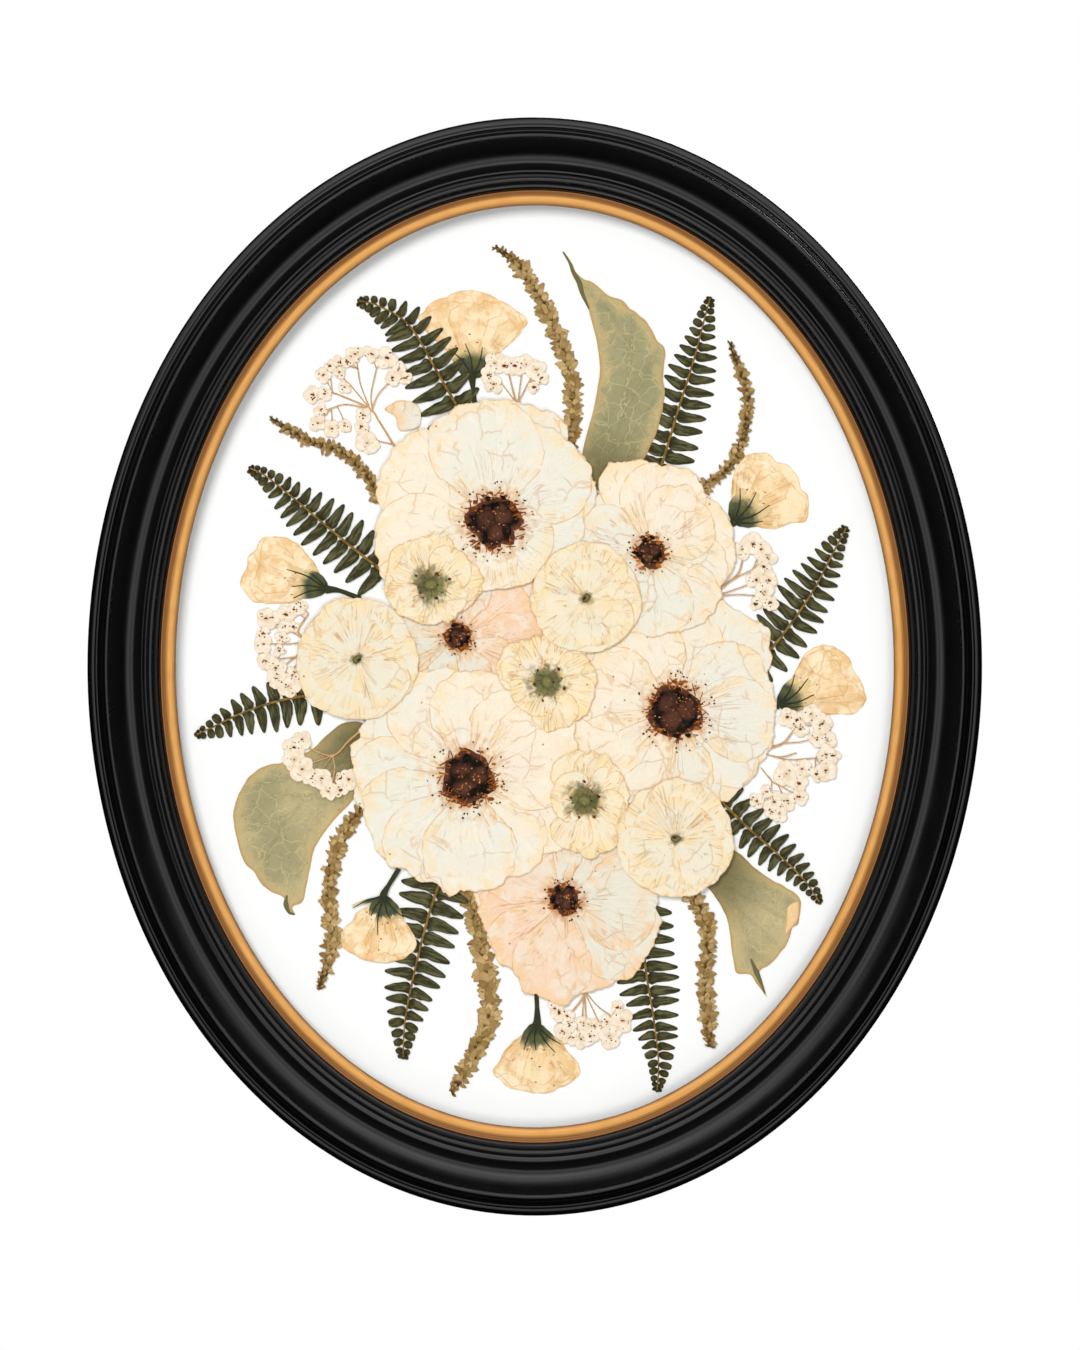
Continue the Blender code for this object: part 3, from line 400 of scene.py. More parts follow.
# Half widths of blades, from base to tip, as shares of their full half width
BLUNT = [(0, 0.4), (0.2, 0.85), (0.55, 1.0), (0.85, 0.8), (1, 0.45)]
SEPAL = [(0, 0.3), (0.15, 0.8), (0.5, 1.0), (0.8, 0.6), (1, 0.1)]
BRACT = [(0, 0.3), (0.3, 0.9), (0.55, 1.0), (0.8, 0.6), (1, 0.05)]
EARED = [(0, 0.6), (0.05, 1.12), (0.16, 1.16), (0.28, 0.86), (0.5, 0.8), (0.8, 0.52), (0.94, 0.32),
         (1, 0.14)]
TAPERED = [(0, 0.3), (0.08, 0.76), (0.2, 0.92), (0.5, 0.8), (0.8, 0.5), (0.94, 0.3), (1, 0.14)]

# Domes in the heart of an anemone: turn, reach and size as shares of its radius, height, tint
HEART_DOMES = [
    (0, (0.26, 0.34), (0.34, 0.42), 0.5, 0.34),
    (122, (0.26, 0.34), (0.34, 0.42), 0.5, 0.27),
    (244, (0.26, 0.34), (0.34, 0.42), 0.5, 0.36),
    (285, (0.4, 0.5), (0.2, 0.26), 0.38, 0.12),
    (380, (0.4, 0.5), (0.2, 0.26), 0.38, 0.3),
]

# Petal colours: pale, cream, warm, towards the rim, at the foot, and how strong the fine creases and
# their painted highlights are
PETAL_COLOURS = {
    "ivory_petal": ((233, 229, 214), (243, 231, 208), (247, 221, 199), (243, 219, 176),
                    (218, 178, 134), 0.5),
    "blush_petal": ((228, 225, 208), (240, 219, 196), (243, 206, 176), (240, 202, 156),
                    (208, 154, 106), 0.5),
    "cream_petal": ((236, 226, 202), (246, 228, 194), (247, 222, 182), (243, 216, 162),
                    (92, 92, 46), 0.4),
    "disc_petal": ((233, 225, 203), (242, 227, 197), (244, 223, 188), (242, 216, 168),
                   (132, 108, 68), 0.15),
    "bud_petal": ((249, 231, 198), (246, 223, 182), (246, 211, 158), (232, 188, 128),
                  (152, 132, 74), 0.3),
}

# Solids that stay as they are, and the material of each
KEPT_SOLIDS = {
    "glass": "clear_glass",
    "mount_board": "white_card",
    "backing_board": "grey_board",
    "sawtooth_hanger": "steel",
}


# Shape helpers

def seed_of(text):
    """A fixed number of its own for each name."""
    return zlib.crc32(text.encode()) % 100000


def random_of(seed):
    return np.random.RandomState(seed % SEED_LIMIT)


def seed_share(seed):
    """The seed as a share of one, for the materials."""
    return (seed % 97) / 97


def green_level(layer):
    return GREEN_BACK + layer * GREEN_STEP


def flower_level(layer):
    return FLOWER_BACK + layer * FLOWER_STEP


def polar(centre, degrees, radius):
    angle = np.radians(degrees)
    return centre[0] + radius * np.cos(angle), centre[1] + radius * np.sin(angle)


def circle(centre, radius, steps):
    return np.column_stack(polar(centre, np.linspace(0, 360, steps, endpoint=False), radius))


def heading_of(direction):
    return math.degrees(math.atan2(direction[1], direction[0]))


def seen_from(points, centre, degrees):
    """Distances of points from a centre, and their turns in degrees from a direction."""
    offset = points - np.array(centre)
    turn = np.degrees(np.arctan2(offset[:, 1], offset[:, 0])) - degrees
    return np.linalg.norm(offset, axis=1), (turn + 180) % 360 - 180


def wavy(x, y, seed):
    """Smooth random heights between -1 and 1 with hills about one unit across."""
    table = random_of(seed).uniform(-1, 1, (GROUND_SIZE, GROUND_SIZE))
    x, y = np.broadcast_arrays(np.asarray(x, float), np.asarray(y, float))
    column = np.floor(x).astype(int)
    row = np.floor(y).astype(int)
    u = x - column
    v = y - row
    u = u * u * (3 - 2 * u)
    v = v * v * (3 - 2 * v)
    left, right = column % GROUND_SIZE, (column + 1) % GROUND_SIZE
    low, high = row % GROUND_SIZE, (row + 1) % GROUND_SIZE
    near = table[left, low] * (1 - u) + table[right, low] * u
    far = table[left, high] * (1 - u) + table[right, high] * u
    return near * (1 - v) + far * v


def ground(points, size, shift, seed):
    """Wavy ground under points in the plane, with hills of the given size in mm."""
    return wavy(points[:, 0] / size + shift, points[:, 1] / size + shift, seed)


def crease(heights, width):
    """Thin ridges, 1 at their crest, along the lines where wavy heights cross zero."""
    return np.exp(-(heights / width) ** 2)


def curves_between(before, here, after, later, steps):
    """Points on smooth curves from each place here to the one after it."""
    t = np.linspace(0, 1, steps, endpoint=False)[None, :, None]
    before, here, after, later = (side[:, None, :] for side in (before, here, after, later))
    fine = 0.5 * (2 * here + (after - before) * t
                  + (2 * before - 5 * here + 4 * after - later) * t ** 2
                  + (3 * here - before - 3 * after + later) * t ** 3)
    return fine.reshape(-1, 2)


def travelled(points):
    """How far along a line each of its points is."""
    return np.concatenate([[0], np.cumsum(np.linalg.norm(np.diff(points, axis=0), axis=1))])


def places_at(points, lengths, wanted):
    return np.column_stack([np.interp(wanted, lengths, points[:, k]) for k in (0, 1)])


def smooth_line(points, count):
    """Evenly spaced places along a smooth curve through the points, and its directions."""
    points = np.array(points, float)
    padded = np.vstack([2 * points[0] - points[1], points, 2 * points[-1] - points[-2]])
    fine = curves_between(padded[:-3], padded[1:-2], padded[2:-1], padded[3:], LINE_STEPS)
    fine = np.vstack([fine, points[-1:]])
    lengths = travelled(fine)
    places = places_at(fine, lengths, np.linspace(0, lengths[-1], count))
    directions = np.gradient(places, axis=0)
    directions /= np.linalg.norm(directions, axis=1)[:, None]
    return places, directions


def line_length(points):
    return float(np.linalg.norm(np.diff(np.array(points, float), axis=0), axis=1).sum())


def smooth_outline(points, spacing):
    """A closed smooth outline through the points, with a point about every spacing."""
    here = np.array(points, float)
    fine = curves_between(np.roll(here, 1, axis=0), here, np.roll(here, -1, axis=0),
                          np.roll(here, -2, axis=0), OUTLINE_STEPS)
    fine = np.vstack([fine, fine[:1]])
    lengths = travelled(fine)
    count = max(8, int(lengths[-1] / spacing))
    return places_at(fine, lengths, np.linspace(0, lengths[-1], count, endpoint=False))


def inside(points, outline):
    """Which points lie inside a closed outline."""
    x, y = points[:, 0][:, None], points[:, 1][:, None]
    ax, ay = outline[:, 0], outline[:, 1]
    bx, by = np.roll(ax, -1), np.roll(ay, -1)
    crosses = (ay > y) != (by > y)
    slope = (bx - ax) / np.where(by == ay, TINY, by - ay)
    return (crosses & (x < slope * (y - ay) + ax)).sum(axis=1) % 2 == 1


def rim_distance(points, outline):
    """Distance from each point to the nearest part of the outline."""
    step = np.roll(outline, -1, axis=0) - outline
    offset = points[:, None, :] - outline
    share = np.clip((offset * step).sum(2) / np.maximum((step ** 2).sum(1), TINY), 0, 1)
    return np.linalg.norm(offset - share[:, :, None] * step, axis=2).min(axis=1)


def loft_faces(levels, sides, wrapped=False):
    """Faces between levels of points round a shape, closed at its ends or wrapped into a ring."""
    faces = []
    for level in range(levels if wrapped else levels - 1):
        start = level * sides
        after = (level + 1) % levels * sides
        for side in range(sides):
            ahead = (side + 1) % sides
            faces.append((start + side, start + ahead, after + ahead, after + side))
    if not wrapped:
        faces.append(tuple(range(sides))[::-1])
        faces.append(tuple(range((levels - 1) * sides, levels * sides)))
    return faces


def turned_over(faces):
    return [face[::-1] for face in faces]


def stacked(loops, heights):
    """Flat loops of points, each lifted to its height, as one list of points."""
    return np.vstack([np.column_stack([loop, np.full(len(loop), height)])
                      for loop, height in zip(loops, heights)])


class Work:
    """One piece in the making: points in mm, faces, and values painted on the points."""

    def __init__(self, name):
        self.name = name
        self.points = []
        self.faces = []
        self.face_materials = []
        self.materials = []
        self.values = {key: [] for key in VALUES}
        self.count = 0

    def add(self, points, faces, material, values):
        if material not in self.materials:
            self.materials.append(material)
        self.points.append(np.asarray(points, float))
        self.faces += [[corner + self.count for corner in face] for face in faces]
        self.face_materials += [self.materials.index(material)] * len(faces)
        for key in VALUES:
            painted = np.asarray(values.get(key, 0.0), float)
            self.values[key].append(np.broadcast_to(painted, len(points)))
        self.count += len(points)

    def finish(self, slot, sharp=50):
        """Make the object, stand it up and fix it to the frame in the solid's place."""
        flat = np.vstack(self.points)
        world = np.column_stack([flat[:, 0], -flat[:, 2], flat[:, 1]]) * MM
        mesh = bpy.data.meshes.new(self.name)
        mesh.from_pydata(world.tolist(), [], self.faces)
        for key in VALUES:
            layer = mesh.attributes.new(key, "FLOAT", "POINT")
            layer.data.foreach_set("value", np.concatenate(self.values[key]).astype(np.float32))
        for material in self.materials:
            mesh.materials.append(material)
        mesh.polygons.foreach_set("material_index", self.face_materials)
        mesh.update()
        mesh.shade_smooth()
        mesh.set_sharp_from_angle(angle=math.radians(sharp))
        piece = bpy.data.objects.new(self.name + "_look", mesh)
        bpy.context.scene.collection.objects.link(piece)
        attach(piece, "root")
        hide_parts(self.name)


def points_within(outline, spacing):
    """Points in staggered rows inside an outline, clear of its edge."""
    low = outline.min(0)
    high = outline.max(0)
    rows = []
    for k, y in enumerate(np.arange(low[1], high[1], spacing * 0.87)):
        across = np.arange(low[0] + (k % 2) * spacing / 2, high[0], spacing)
        rows.append(np.column_stack([across, np.full(len(across), y)]))
    within = np.vstack(rows)
    within = within[inside(within, outline)]
    if len(within):
        within = within[rim_distance(within, outline) > spacing * 0.45]
    return within


def triangles_over(flat, triangles):
    """The triangles as faces that look to the front, and the edges round them."""
    faces = []
    borders = {}
    for a, b, c in triangles:
        first = flat[b] - flat[a]
        second = flat[c] - flat[a]
        face = (a, b, c) if first[0] * second[1] - first[1] * second[0] > 0 else (a, c, b)
        faces.append(face)
        for start, end in zip(face, face[1:] + face[:1]):
            if (end, start) in borders:
                del borders[(end, start)]
            else:
                borders[(start, end)] = True
    return faces, borders


def sheet(work, outline, spacing, height, thickness, material, values):
    """A thin closed sheet inside an outline.

    height(points, rim) gives the front's height and values(points, rim) the painted values.
    """
    outline = np.asarray(outline, float)
    after = np.roll(outline, -1, axis=0)
    if (outline[:, 0] * after[:, 1] - outline[:, 1] * after[:, 0]).sum() < 0:
        outline = outline[::-1]
    every = [tuple(p) for p in np.vstack([outline, points_within(outline, spacing)])]
    loop = [list(range(len(outline)))]
    places, _, found, _, _, _ = delaunay_2d_cdt(every, [], loop, 1, MERGE_DISTANCE, False)
    flat = np.array([tuple(p) for p in places])
    rim = rim_distance(flat, outline)
    top = height(flat, rim)
    corners = np.array([tuple(triangle) for triangle in found])
    kept = corners[inside(flat[corners].mean(axis=1), outline)].tolist()
    faces, borders = triangles_over(flat, kept)
    count = len(flat)
    back = [(c + count, b + count, a + count) for a, b, c in faces]
    sides = [(end, start, start + count, end + count) for start, end in borders]
    points = np.vstack([np.column_stack([flat, top]), np.column_stack([flat, top - thickness])])
    painted = {key: np.tile(np.broadcast_to(value, count), 2)
               for key, value in values(flat, rim).items()}
    painted["rim"] = np.tile(rim, 2)
    work.add(points, faces + back + sides, material, painted)


def rod(work, places, heights, radii, material, sides, flatten, values=None):
    """A flattened stalk along a line, closed at both ends."""
    places = np.asarray(places, float)
    count = len(places)
    along = np.gradient(places, axis=0)
    along /= np.maximum(np.linalg.norm(along, axis=1), TINY)[:, None]
    across = np.column_stack([-along[:, 1], along[:, 0]])
    radii = np.broadcast_to(np.asarray(radii, float), count)
    heights = np.broadcast_to(np.asarray(heights, float), count)
    points = []
    for side in range(sides):
        angle = 2 * math.pi * side / sides
        wide = across * (radii * math.cos(angle))[:, None]
        points.append(np.column_stack([places + wide, heights + radii * flatten * math.sin(angle)]))
    points = np.array(points).transpose(1, 0, 2).reshape(-1, 3)
    work.add(points, turned_over(loft_faces(count, sides)), material, values or {})


def lump(work, centre, size, seed, material, values, corners):
    """A small angular lump: the hull of points scattered on a flattened ball."""
    spread = random_of(seed).normal(size=(corners, 3))
    spread /= np.linalg.norm(spread, axis=1)[:, None]
    shape = bmesh.new()
    for point in np.array(centre) + spread * np.array(size):
        shape.verts.new(point)
    bmesh.ops.convex_hull(shape, input=shape.verts)
    for vert in [vert for vert in shape.verts if not vert.link_faces]:
        shape.verts.remove(vert)
    shape.verts.index_update()
    shape.normal_update()
    points = [tuple(vert.co) for vert in shape.verts]
    faces = [tuple(vert.index for vert in face.verts) for face in shape.faces]
    shape.free()
    work.add(points, faces, material, values)


# Materials

def srgb(red, green, blue):
    """A display colour of 0 to 255 as the shader's own linear colour."""
    linear = []
    for part in (red, green, blue):
        share = part / 255
        linear.append(share / 12.92 if share <= 0.04045 else ((share + 0.055) / 1.055) ** 2.4)
    return (*linear, 1.0)


class Nodes:
    """Short calls for the nodes of one material or of the world."""

    def __init__(self, tree):
        self.tree = tree

    def set(self, socket, value):
        if isinstance(value, bpy.types.NodeSocket):
            self.tree.links.new(value, socket)
        else:
            socket.default_value = value

    def node(self, kind, inputs=None, **settings):
        """A new node with its settings, and with values or links at its inputs."""
        node = self.tree.nodes.new("ShaderNode" + kind)
        for name, setting in settings.items():
            setattr(node, name, setting)
        for name, value in (inputs or {}).items():
            self.set(node.inputs[name], value)
        return node

    def maths(self, operation, a, b=0.0):
        return self.node("Math", {0: a, 1: b}, operation=operation).outputs[0]

    def times(self, a, b):
        return self.maths("MULTIPLY", a, b)

    def plus(self, a, b):
        return self.maths("ADD", a, b)

    def span(self, value, low, high, out_low=0.0, out_high=1.0):
        """Map a range smoothly onto another."""
        inputs = {"Value": value, "From Min": low, "From Max": high,
                  "To Min": out_low, "To Max": out_high}
        return self.node("MapRange", inputs, interpolation_type="SMOOTHSTEP").outputs["Result"]


class Paint(Nodes):
    """One material: its patterns, and coats of colour laid one over another."""

    def __init__(self, name, roughness=0.7, metallic=0.0, specular=0.3):
        self.material = bpy.data.materials.new(name)
        self.material.use_nodes = True
        super().__init__(self.material.node_tree)
        self.shader = self.tree.nodes["Principled BSDF"]
        self.base = None
        self.look("Roughness", roughness)
        self.look("Metallic", metallic)
        self.look("Specular IOR Level", specular)

    def look(self, name, value):
        self.set(self.shader.inputs[name], value)

    def value(self, name):
        """A value painted on the mesh's points."""
        return self.node("Attribute", attribute_name=name).outputs["Fac"]

    def place(self):
        """The place on the object, in millimetres."""
        return self.scaled(self.node("TexCoord").outputs["Object"], (1000, 1000, 1000))

    def scaled(self, vector, scale):
        return self.node("VectorMath", {0: vector, 1: scale}, operation="MULTIPLY").outputs[0]

    def moved(self, vector, step):
        return self.node("VectorMath", {0: vector, 1: step}, operation="ADD").outputs[0]

    def vector(self, x, y, z):
        return self.node("CombineXYZ", {0: x, 1: y, 2: z}).outputs[0]

    def noise(self, vector, scale, detail=3.0, roughness=0.5, distortion=0.0):
        inputs = {"Vector": vector, "Scale": scale, "Detail": detail, "Roughness": roughness,
                  "Distortion": distortion}
        return self.node("TexNoise", inputs).outputs["Fac"]

    def cells(self, vector, scale, feature="F1"):
        inputs = {"Vector": vector, "Scale": scale}
        return self.node("TexVoronoi", inputs, feature=feature).outputs["Distance"]

    def shifted(self, vector, seed):
        """The vector moved far away by a seed, so that each sheet has a pattern of its own."""
        far = [self.times(seed, reach) for reach in (370.0, 110.0, 50.0)]
        return self.moved(vector, self.vector(*far))

    def warped(self, vector, scale, amount):
        """The vector pushed about by a noise."""
        noise = self.node("TexNoise", {"Vector": vector, "Scale": scale})
        return self.moved(vector, self.scaled(noise.outputs["Color"], (amount, amount, amount)))

    def fade(self, value, low, high, most=1.0):
        """The most up to the low value, and nothing from the high one on."""
        return self.span(value, low, high, most, 0.0)

    def line(self, value, width):
        """1 where the value is near one half, as along the contour of a noise."""
        apart = self.maths("ABSOLUTE", self.maths("SUBTRACT", value, 0.5))
        return self.fade(apart, 0.0, width)

    def net(self, vector, scale, width):
        """1 along the lines between cells."""
        return self.fade(self.cells(vector, scale, "DISTANCE_TO_EDGE"), 0.0, width)

    def total(self, first, *others):
        """A value plus others, each given as (value, weight)."""
        for value, weight in others:
            first = self.plus(first, self.times(value, weight))
        return first

    def mix(self, share, a, b):
        inputs = {"Factor": share, 6: a, 7: b}
        return self.node("Mix", inputs, data_type="RGBA", clamp_factor=True).outputs[2]

    def start(self, share, first, second):
        """The lowest coat, which passes from one colour to another."""
        self.base = self.mix(share, srgb(*first), srgb(*second))

    def coat(self, share, colour):
        """Another colour over the coats so far, as thick as the share."""
        self.base = self.mix(share, self.base, srgb(*colour))

    def finish(self, height, strength, distance):
        """Put the coats and a relief, its depth in mm, on the shader."""
        self.look("Base Color", self.base)
        inputs = {"Strength": strength, "Distance": distance * MM, "Height": height}
        self.look("Normal", self.node("Bump", inputs).outputs["Normal"])
        return self.material


def lacquer_material():
    """Satin black paint with a faint grain."""
    paint = Paint("black_lacquer", roughness=0.34, specular=0.5)
    place = paint.place()
    cloud = paint.noise(place, 0.05, 4)
    paint.start(cloud, (2, 2, 2), (5, 4, 4))
    paint.look("Roughness", paint.span(cloud, 0.3, 0.7, 0.26, 0.34))
    return paint.finish(paint.noise(place, 2.5, 2), 0.06, 0.05)


def gilt_material():
    """Rubbed gilding, brown in its groove, and brown on the sight edge as painted shade."""
    paint = Paint("gilt", roughness=0.42, metallic=0.25, specular=0.5)
    streaks = paint.noise(paint.vector(paint.value("turn"), paint.value("out"), 0.0), 1.6, 4)
    cloud = paint.noise(paint.place(), 0.12)
    paint.start(paint.span(streaks, 0.3, 0.7), (198, 140, 70), (224, 166, 94))
    paint.coat(paint.span(cloud, 0.45, 0.75, 0.0, 0.35), (196, 132, 64))
    # Brown in the groove, and painted shade in brown on the sight edge
    paint.coat(paint.value("tint"), (112, 66, 24))
    return paint.finish(streaks, 0.15, 0.08)


def board_material():
    """White mount board with a faint tooth."""
    paint = Paint("white_card", roughness=0.9, specular=0.2)
    place = paint.place()
    paint.start(paint.noise(place, 0.03, 2), (247, 247, 246), (250, 250, 249))
    return paint.finish(paint.noise(place, 3.0), 0.1, 0.03)


def card_material(name, dark, light):
    """Plain fibrous board or paper in two near colours."""
    paint = Paint(name, roughness=0.88, specular=0.2)
    place = paint.place()
    fibres = paint.noise(paint.scaled(place, (0.5, 1.0, 3.0)), 1.2, 5, 0.65)
    paint.start(paint.span(fibres, 0.3, 0.7), dark, light)
    paint.coat(paint.span(paint.noise(place, 0.04), 0.3, 0.8, 0.0, 0.3), dark)
    return paint.finish(fibres, 0.25, 0.06)


def metal_material(name, bright, dull):
    """Plated metal, duller in clouds."""
    paint = Paint(name, roughness=0.32, metallic=0.7, specular=0.5)
    place = paint.place()
    cloud = paint.noise(place, 0.35, 4)
    paint.start(paint.span(cloud, 0.45, 0.75), bright, dull)
    paint.look("Roughness", paint.span(cloud, 0.3, 0.7, 0.26, 0.45))
    return paint.finish(paint.noise(place, 4.0, 2), 0.08, 0.03)


def rubber_material():
    paint = Paint("rubber", roughness=0.8)
    place = paint.place()
    paint.start(paint.noise(place, 0.8), (38, 38, 38), (58, 57, 56))
    return paint.finish(paint.noise(place, 6.0, 2), 0.2, 0.04)


def glass_material():
    """Clear sheet glass that lets lamps through to what is behind it."""
    paint = Paint("clear_glass", roughness=0.02, specular=0.5)
    paint.look("Base Color", (0.985, 0.99, 0.985, 1.0))
    paint.look("Transmission Weight", 1.0)
    paint.look("IOR", 1.45)
    rays = paint.node("LightPath")
    through = paint.maths("MAXIMUM", rays.outputs["Is Shadow Ray"], rays.outputs["Is Diffuse Ray"])
    clear = paint.node("BsdfTransparent")
    swap = paint.node("MixShader", {0: through, 1: paint.shader.outputs[0], 2: clear.outputs[0]})
    paint.set(paint.tree.nodes["Material Output"].inputs["Surface"], swap.outputs[0])
    return paint.material


def petal_material(name, pale, cream, warm, edge, foot, fine_creases_and_highlights):
    """Dry translucent petal: clouded colour, radiating creases with painted highlights on the faint
    ones, a tan rim that is partly painted shade, brown specks.
    """
    paint = Paint(name, roughness=0.62, specular=0.25)
    rim = paint.value("rim")
    out = paint.value("out")
    seed = paint.value("seed")
    place = paint.shifted(paint.place(), seed)
    warped = paint.warped(place, 0.16, 5.0)
    fan = paint.vector(paint.times(paint.value("turn"), 9.0), paint.times(out, 0.05),
                       paint.times(seed, 50.0))
    cloud = paint.noise(place, 0.07, 4, 0.55)
    patch = paint.noise(place, 0.16, 3, 0.6)

    # Clouds of colour, paler on one side of a flower
    leaning = paint.plus(cloud, paint.span(paint.value("side"), 0.0, 1.0, -0.22, 0.16))
    paint.start(paint.span(leaning, 0.35, 0.66), pale, cream)
    paint.coat(paint.times(paint.value("tint"), paint.span(patch, 0.3, 0.62)), warm)
    near = paint.fade(rim, 0.0, 9.0, 0.85)
    paint.coat(paint.times(near, paint.span(patch, 0.4, 0.6)), edge)

    # Creases that run outwards, and nets of finer ones between them; the faint creases are painted
    # light as highlights
    strong = paint.line(paint.noise(fan, 0.8, 2, 0.5, 0.8), 0.022)
    strong = paint.times(strong, paint.span(out, 8, 34, 1.0, 0.1))
    strong = paint.times(strong, paint.span(patch, 0.42, 0.55))
    faint = paint.line(paint.noise(fan, 1.5, 1, 0.5, 1.0), 0.035)
    where = paint.span(paint.noise(place, 0.1, 2), 0.46, 0.6)
    facets = paint.times(paint.net(warped, 0.1, 0.045), where)
    small = paint.times(paint.net(warped, 0.26, 0.06), paint.span(cloud, 0.4, 0.62))
    # Painted highlight along the faint creases
    paint.coat(paint.times(faint, 0.4 * fine_creases_and_highlights), (255, 248, 234))
    paint.coat(paint.times(small, 0.2 * fine_creases_and_highlights), (218, 186, 142))
    paint.coat(paint.times(facets, 0.5), (222, 176, 122))
    paint.coat(paint.times(strong, 0.75), (196, 140, 84))

    # A broken tan rim, partly browned edge and partly painted shade where petals overlap, a few brown
    # specks, and the colour at the foot
    lip = paint.times(paint.fade(rim, 0.1, 0.6, 0.85), paint.value("lip"))
    broken = paint.span(paint.noise(place, 0.3, 2), 0.36, 0.6, 0.25, 1.0)
    paint.coat(paint.times(lip, broken), (209, 155, 92))
    specks = paint.fade(paint.cells(place, 0.19), 0.05, 0.09)
    rare = paint.span(paint.noise(place, 0.31, 1), 0.5, 0.56)
    paint.coat(paint.times(specks, paint.times(rare, 0.8)), (140, 80, 36))
    stain = paint.maths("DIVIDE", out, paint.maths("MAXIMUM", paint.value("stain"), 0.01))
    stain = paint.plus(stain, paint.span(paint.noise(place, 0.4), 0.25, 0.75, -0.3, 0.3))
    paint.coat(paint.fade(stain, 0.45, 1.1, 0.85), foot)
    relief = paint.total(paint.times(facets, 0.8), (patch, 0.7), (faint, 0.6 * fine_creases_and_highlights),
                         (small, 0.35 * fine_creases_and_highlights), (strong, 0.9))
    return paint.finish(relief, 0.55, 0.35)


def fern_material():
    """Dark olive leaflets, lighter along the middle and at the tips."""
    paint = Paint("fern_green", roughness=0.65, specular=0.18)
    out = paint.value("out")
    cloud = paint.noise(paint.place(), 0.35, 4, 0.6)
    along = paint.vector(paint.times(paint.value("turn"), 1.3), paint.times(out, 0.2),
                         paint.times(paint.value("seed"), 60.0))
    streak = paint.noise(along, 1.0, 3, 0.5, 0.3)
    paint.start(paint.span(cloud, 0.3, 0.7), (42, 40, 18), (62, 60, 32))
    paint.coat(paint.span(streak, 0.42, 0.62, 0.0, 0.85), (98, 96, 64))
    paint.coat(paint.times(paint.value("tint"), 0.7), (78, 68, 16))
    paint.coat(paint.fade(paint.value("rim"), 0.0, 0.5, 0.8), (28, 25, 8))
    paint.coat(paint.fade(out, 0.0, 2.6, 0.75), (24, 22, 6))
    return paint.finish(paint.total(streak, (cloud, 0.6)), 0.6, 0.3)


def stalk_material(name, roughness, specular, scale, dark, light):
    """A thin stalk in two near colours."""
    paint = Paint(name, roughness=roughness, specular=specular)
    cloud = paint.noise(paint.place(), scale)
    paint.start(paint.span(cloud, 0.3, 0.7), dark, light)
    return paint.finish(cloud, 0.2, 0.1)


def leaf_material():
    """Grey-green leaf, golden and thin at its edge, darker at its foot, with pale fine veins and
    painted shade beside them.
    """
    paint = Paint("sage_leaf", roughness=0.6, specular=0.25)
    rim = paint.value("rim")
    vein = paint.value("turn")
    place = paint.place()
    cloud = paint.noise(place, 0.045, 4, 0.55)
    patch = paint.noise(place, 0.2, 4, 0.6)
    net = paint.net(paint.warped(place, 0.12, 7.0), 0.16, 0.045)
    fine = paint.line(paint.noise(place, 0.3, 2, 0.5, 0.8), 0.02)
    paint.start(paint.span(cloud, 0.34, 0.66), (160, 152, 114), (190, 175, 132))
    paint.coat(paint.span(patch, 0.4, 0.75, 0.0, 0.4), (150, 144, 106))
    paint.coat(paint.times(paint.value("tint"), 0.5), (136, 136, 100))
    paint.coat(paint.times(net, 0.6), (206, 188, 138))
    paint.coat(paint.times(fine, 0.3), (110, 110, 76))
    paint.coat(paint.fade(vein, 0.15, 0.5, 0.8), (208, 190, 138))
    # Painted shade in a band beside the raised veins
    paint.coat(paint.fade(vein, 0.45, 1.1, 0.14), (96, 96, 62))
    paint.coat(paint.fade(paint.total(rim, (patch, -14.0)), -6.5, -1.5, 0.6), (204, 180, 126))
    paint.coat(paint.fade(paint.total(rim, (patch, -1.6)), -0.6, 0.25, 0.85), (190, 148, 90))
    paint.coat(paint.fade(paint.value("out"), 4.0, 30.0, 0.75), (84, 78, 34))
    paint.coat(paint.fade(paint.cells(place, 0.22), 0.05, 0.09, 0.5), (110, 84, 44))
    ribs = paint.fade(vein, 0.0, 0.9)
    relief = paint.total(paint.plus(ribs, patch), (fine, -0.3), (net, 0.4))
    return paint.finish(relief, 0.55, 0.3)


def bract_material():
    """Tan bracts of uneven colour, with painted shade along their rims and at their feet for the gaps
    between them.
    """
    paint = Paint("tan_bract", roughness=0.75, specular=0.15)
    cloud = paint.noise(paint.place(), 0.6, 4, 0.6)
    paint.start(paint.value("tint"), (132, 102, 54), (206, 176, 122))
    paint.coat(paint.span(cloud, 0.4, 0.75, 0.0, 0.5), (164, 132, 74))
    # Painted shade along the rims
    paint.coat(paint.fade(paint.value("rim"), 0.0, 0.25, 0.4), (124, 92, 44))
    # Painted shade at the feet, dark in the gaps between bracts
    paint.coat(paint.fade(paint.value("out"), 0.2, 1.7, 0.9), (58, 38, 10))
    return paint.finish(cloud, 0.5, 0.3)


def floret_material():
    """Tiny cream petals, browned at the middle of each floret and along their rims."""
    paint = Paint("white_floret", roughness=0.65, specular=0.25)
    place = paint.place()
    patch = paint.noise(place, 0.5, 3, 0.6)
    paint.start(paint.span(patch, 0.3, 0.7), (246, 234, 216), (234, 214, 186))
    paint.coat(paint.fade(paint.value("out"), 0.1, 1.6, 0.55), (206, 168, 122))
    paint.coat(paint.fade(paint.value("rim"), 0.0, 0.35, 0.5), (212, 176, 134))
    paint.coat(paint.fade(paint.cells(place, 0.35), 0.07, 0.12, 0.6), (138, 80, 38))
    return paint.finish(patch, 0.5, 0.3)


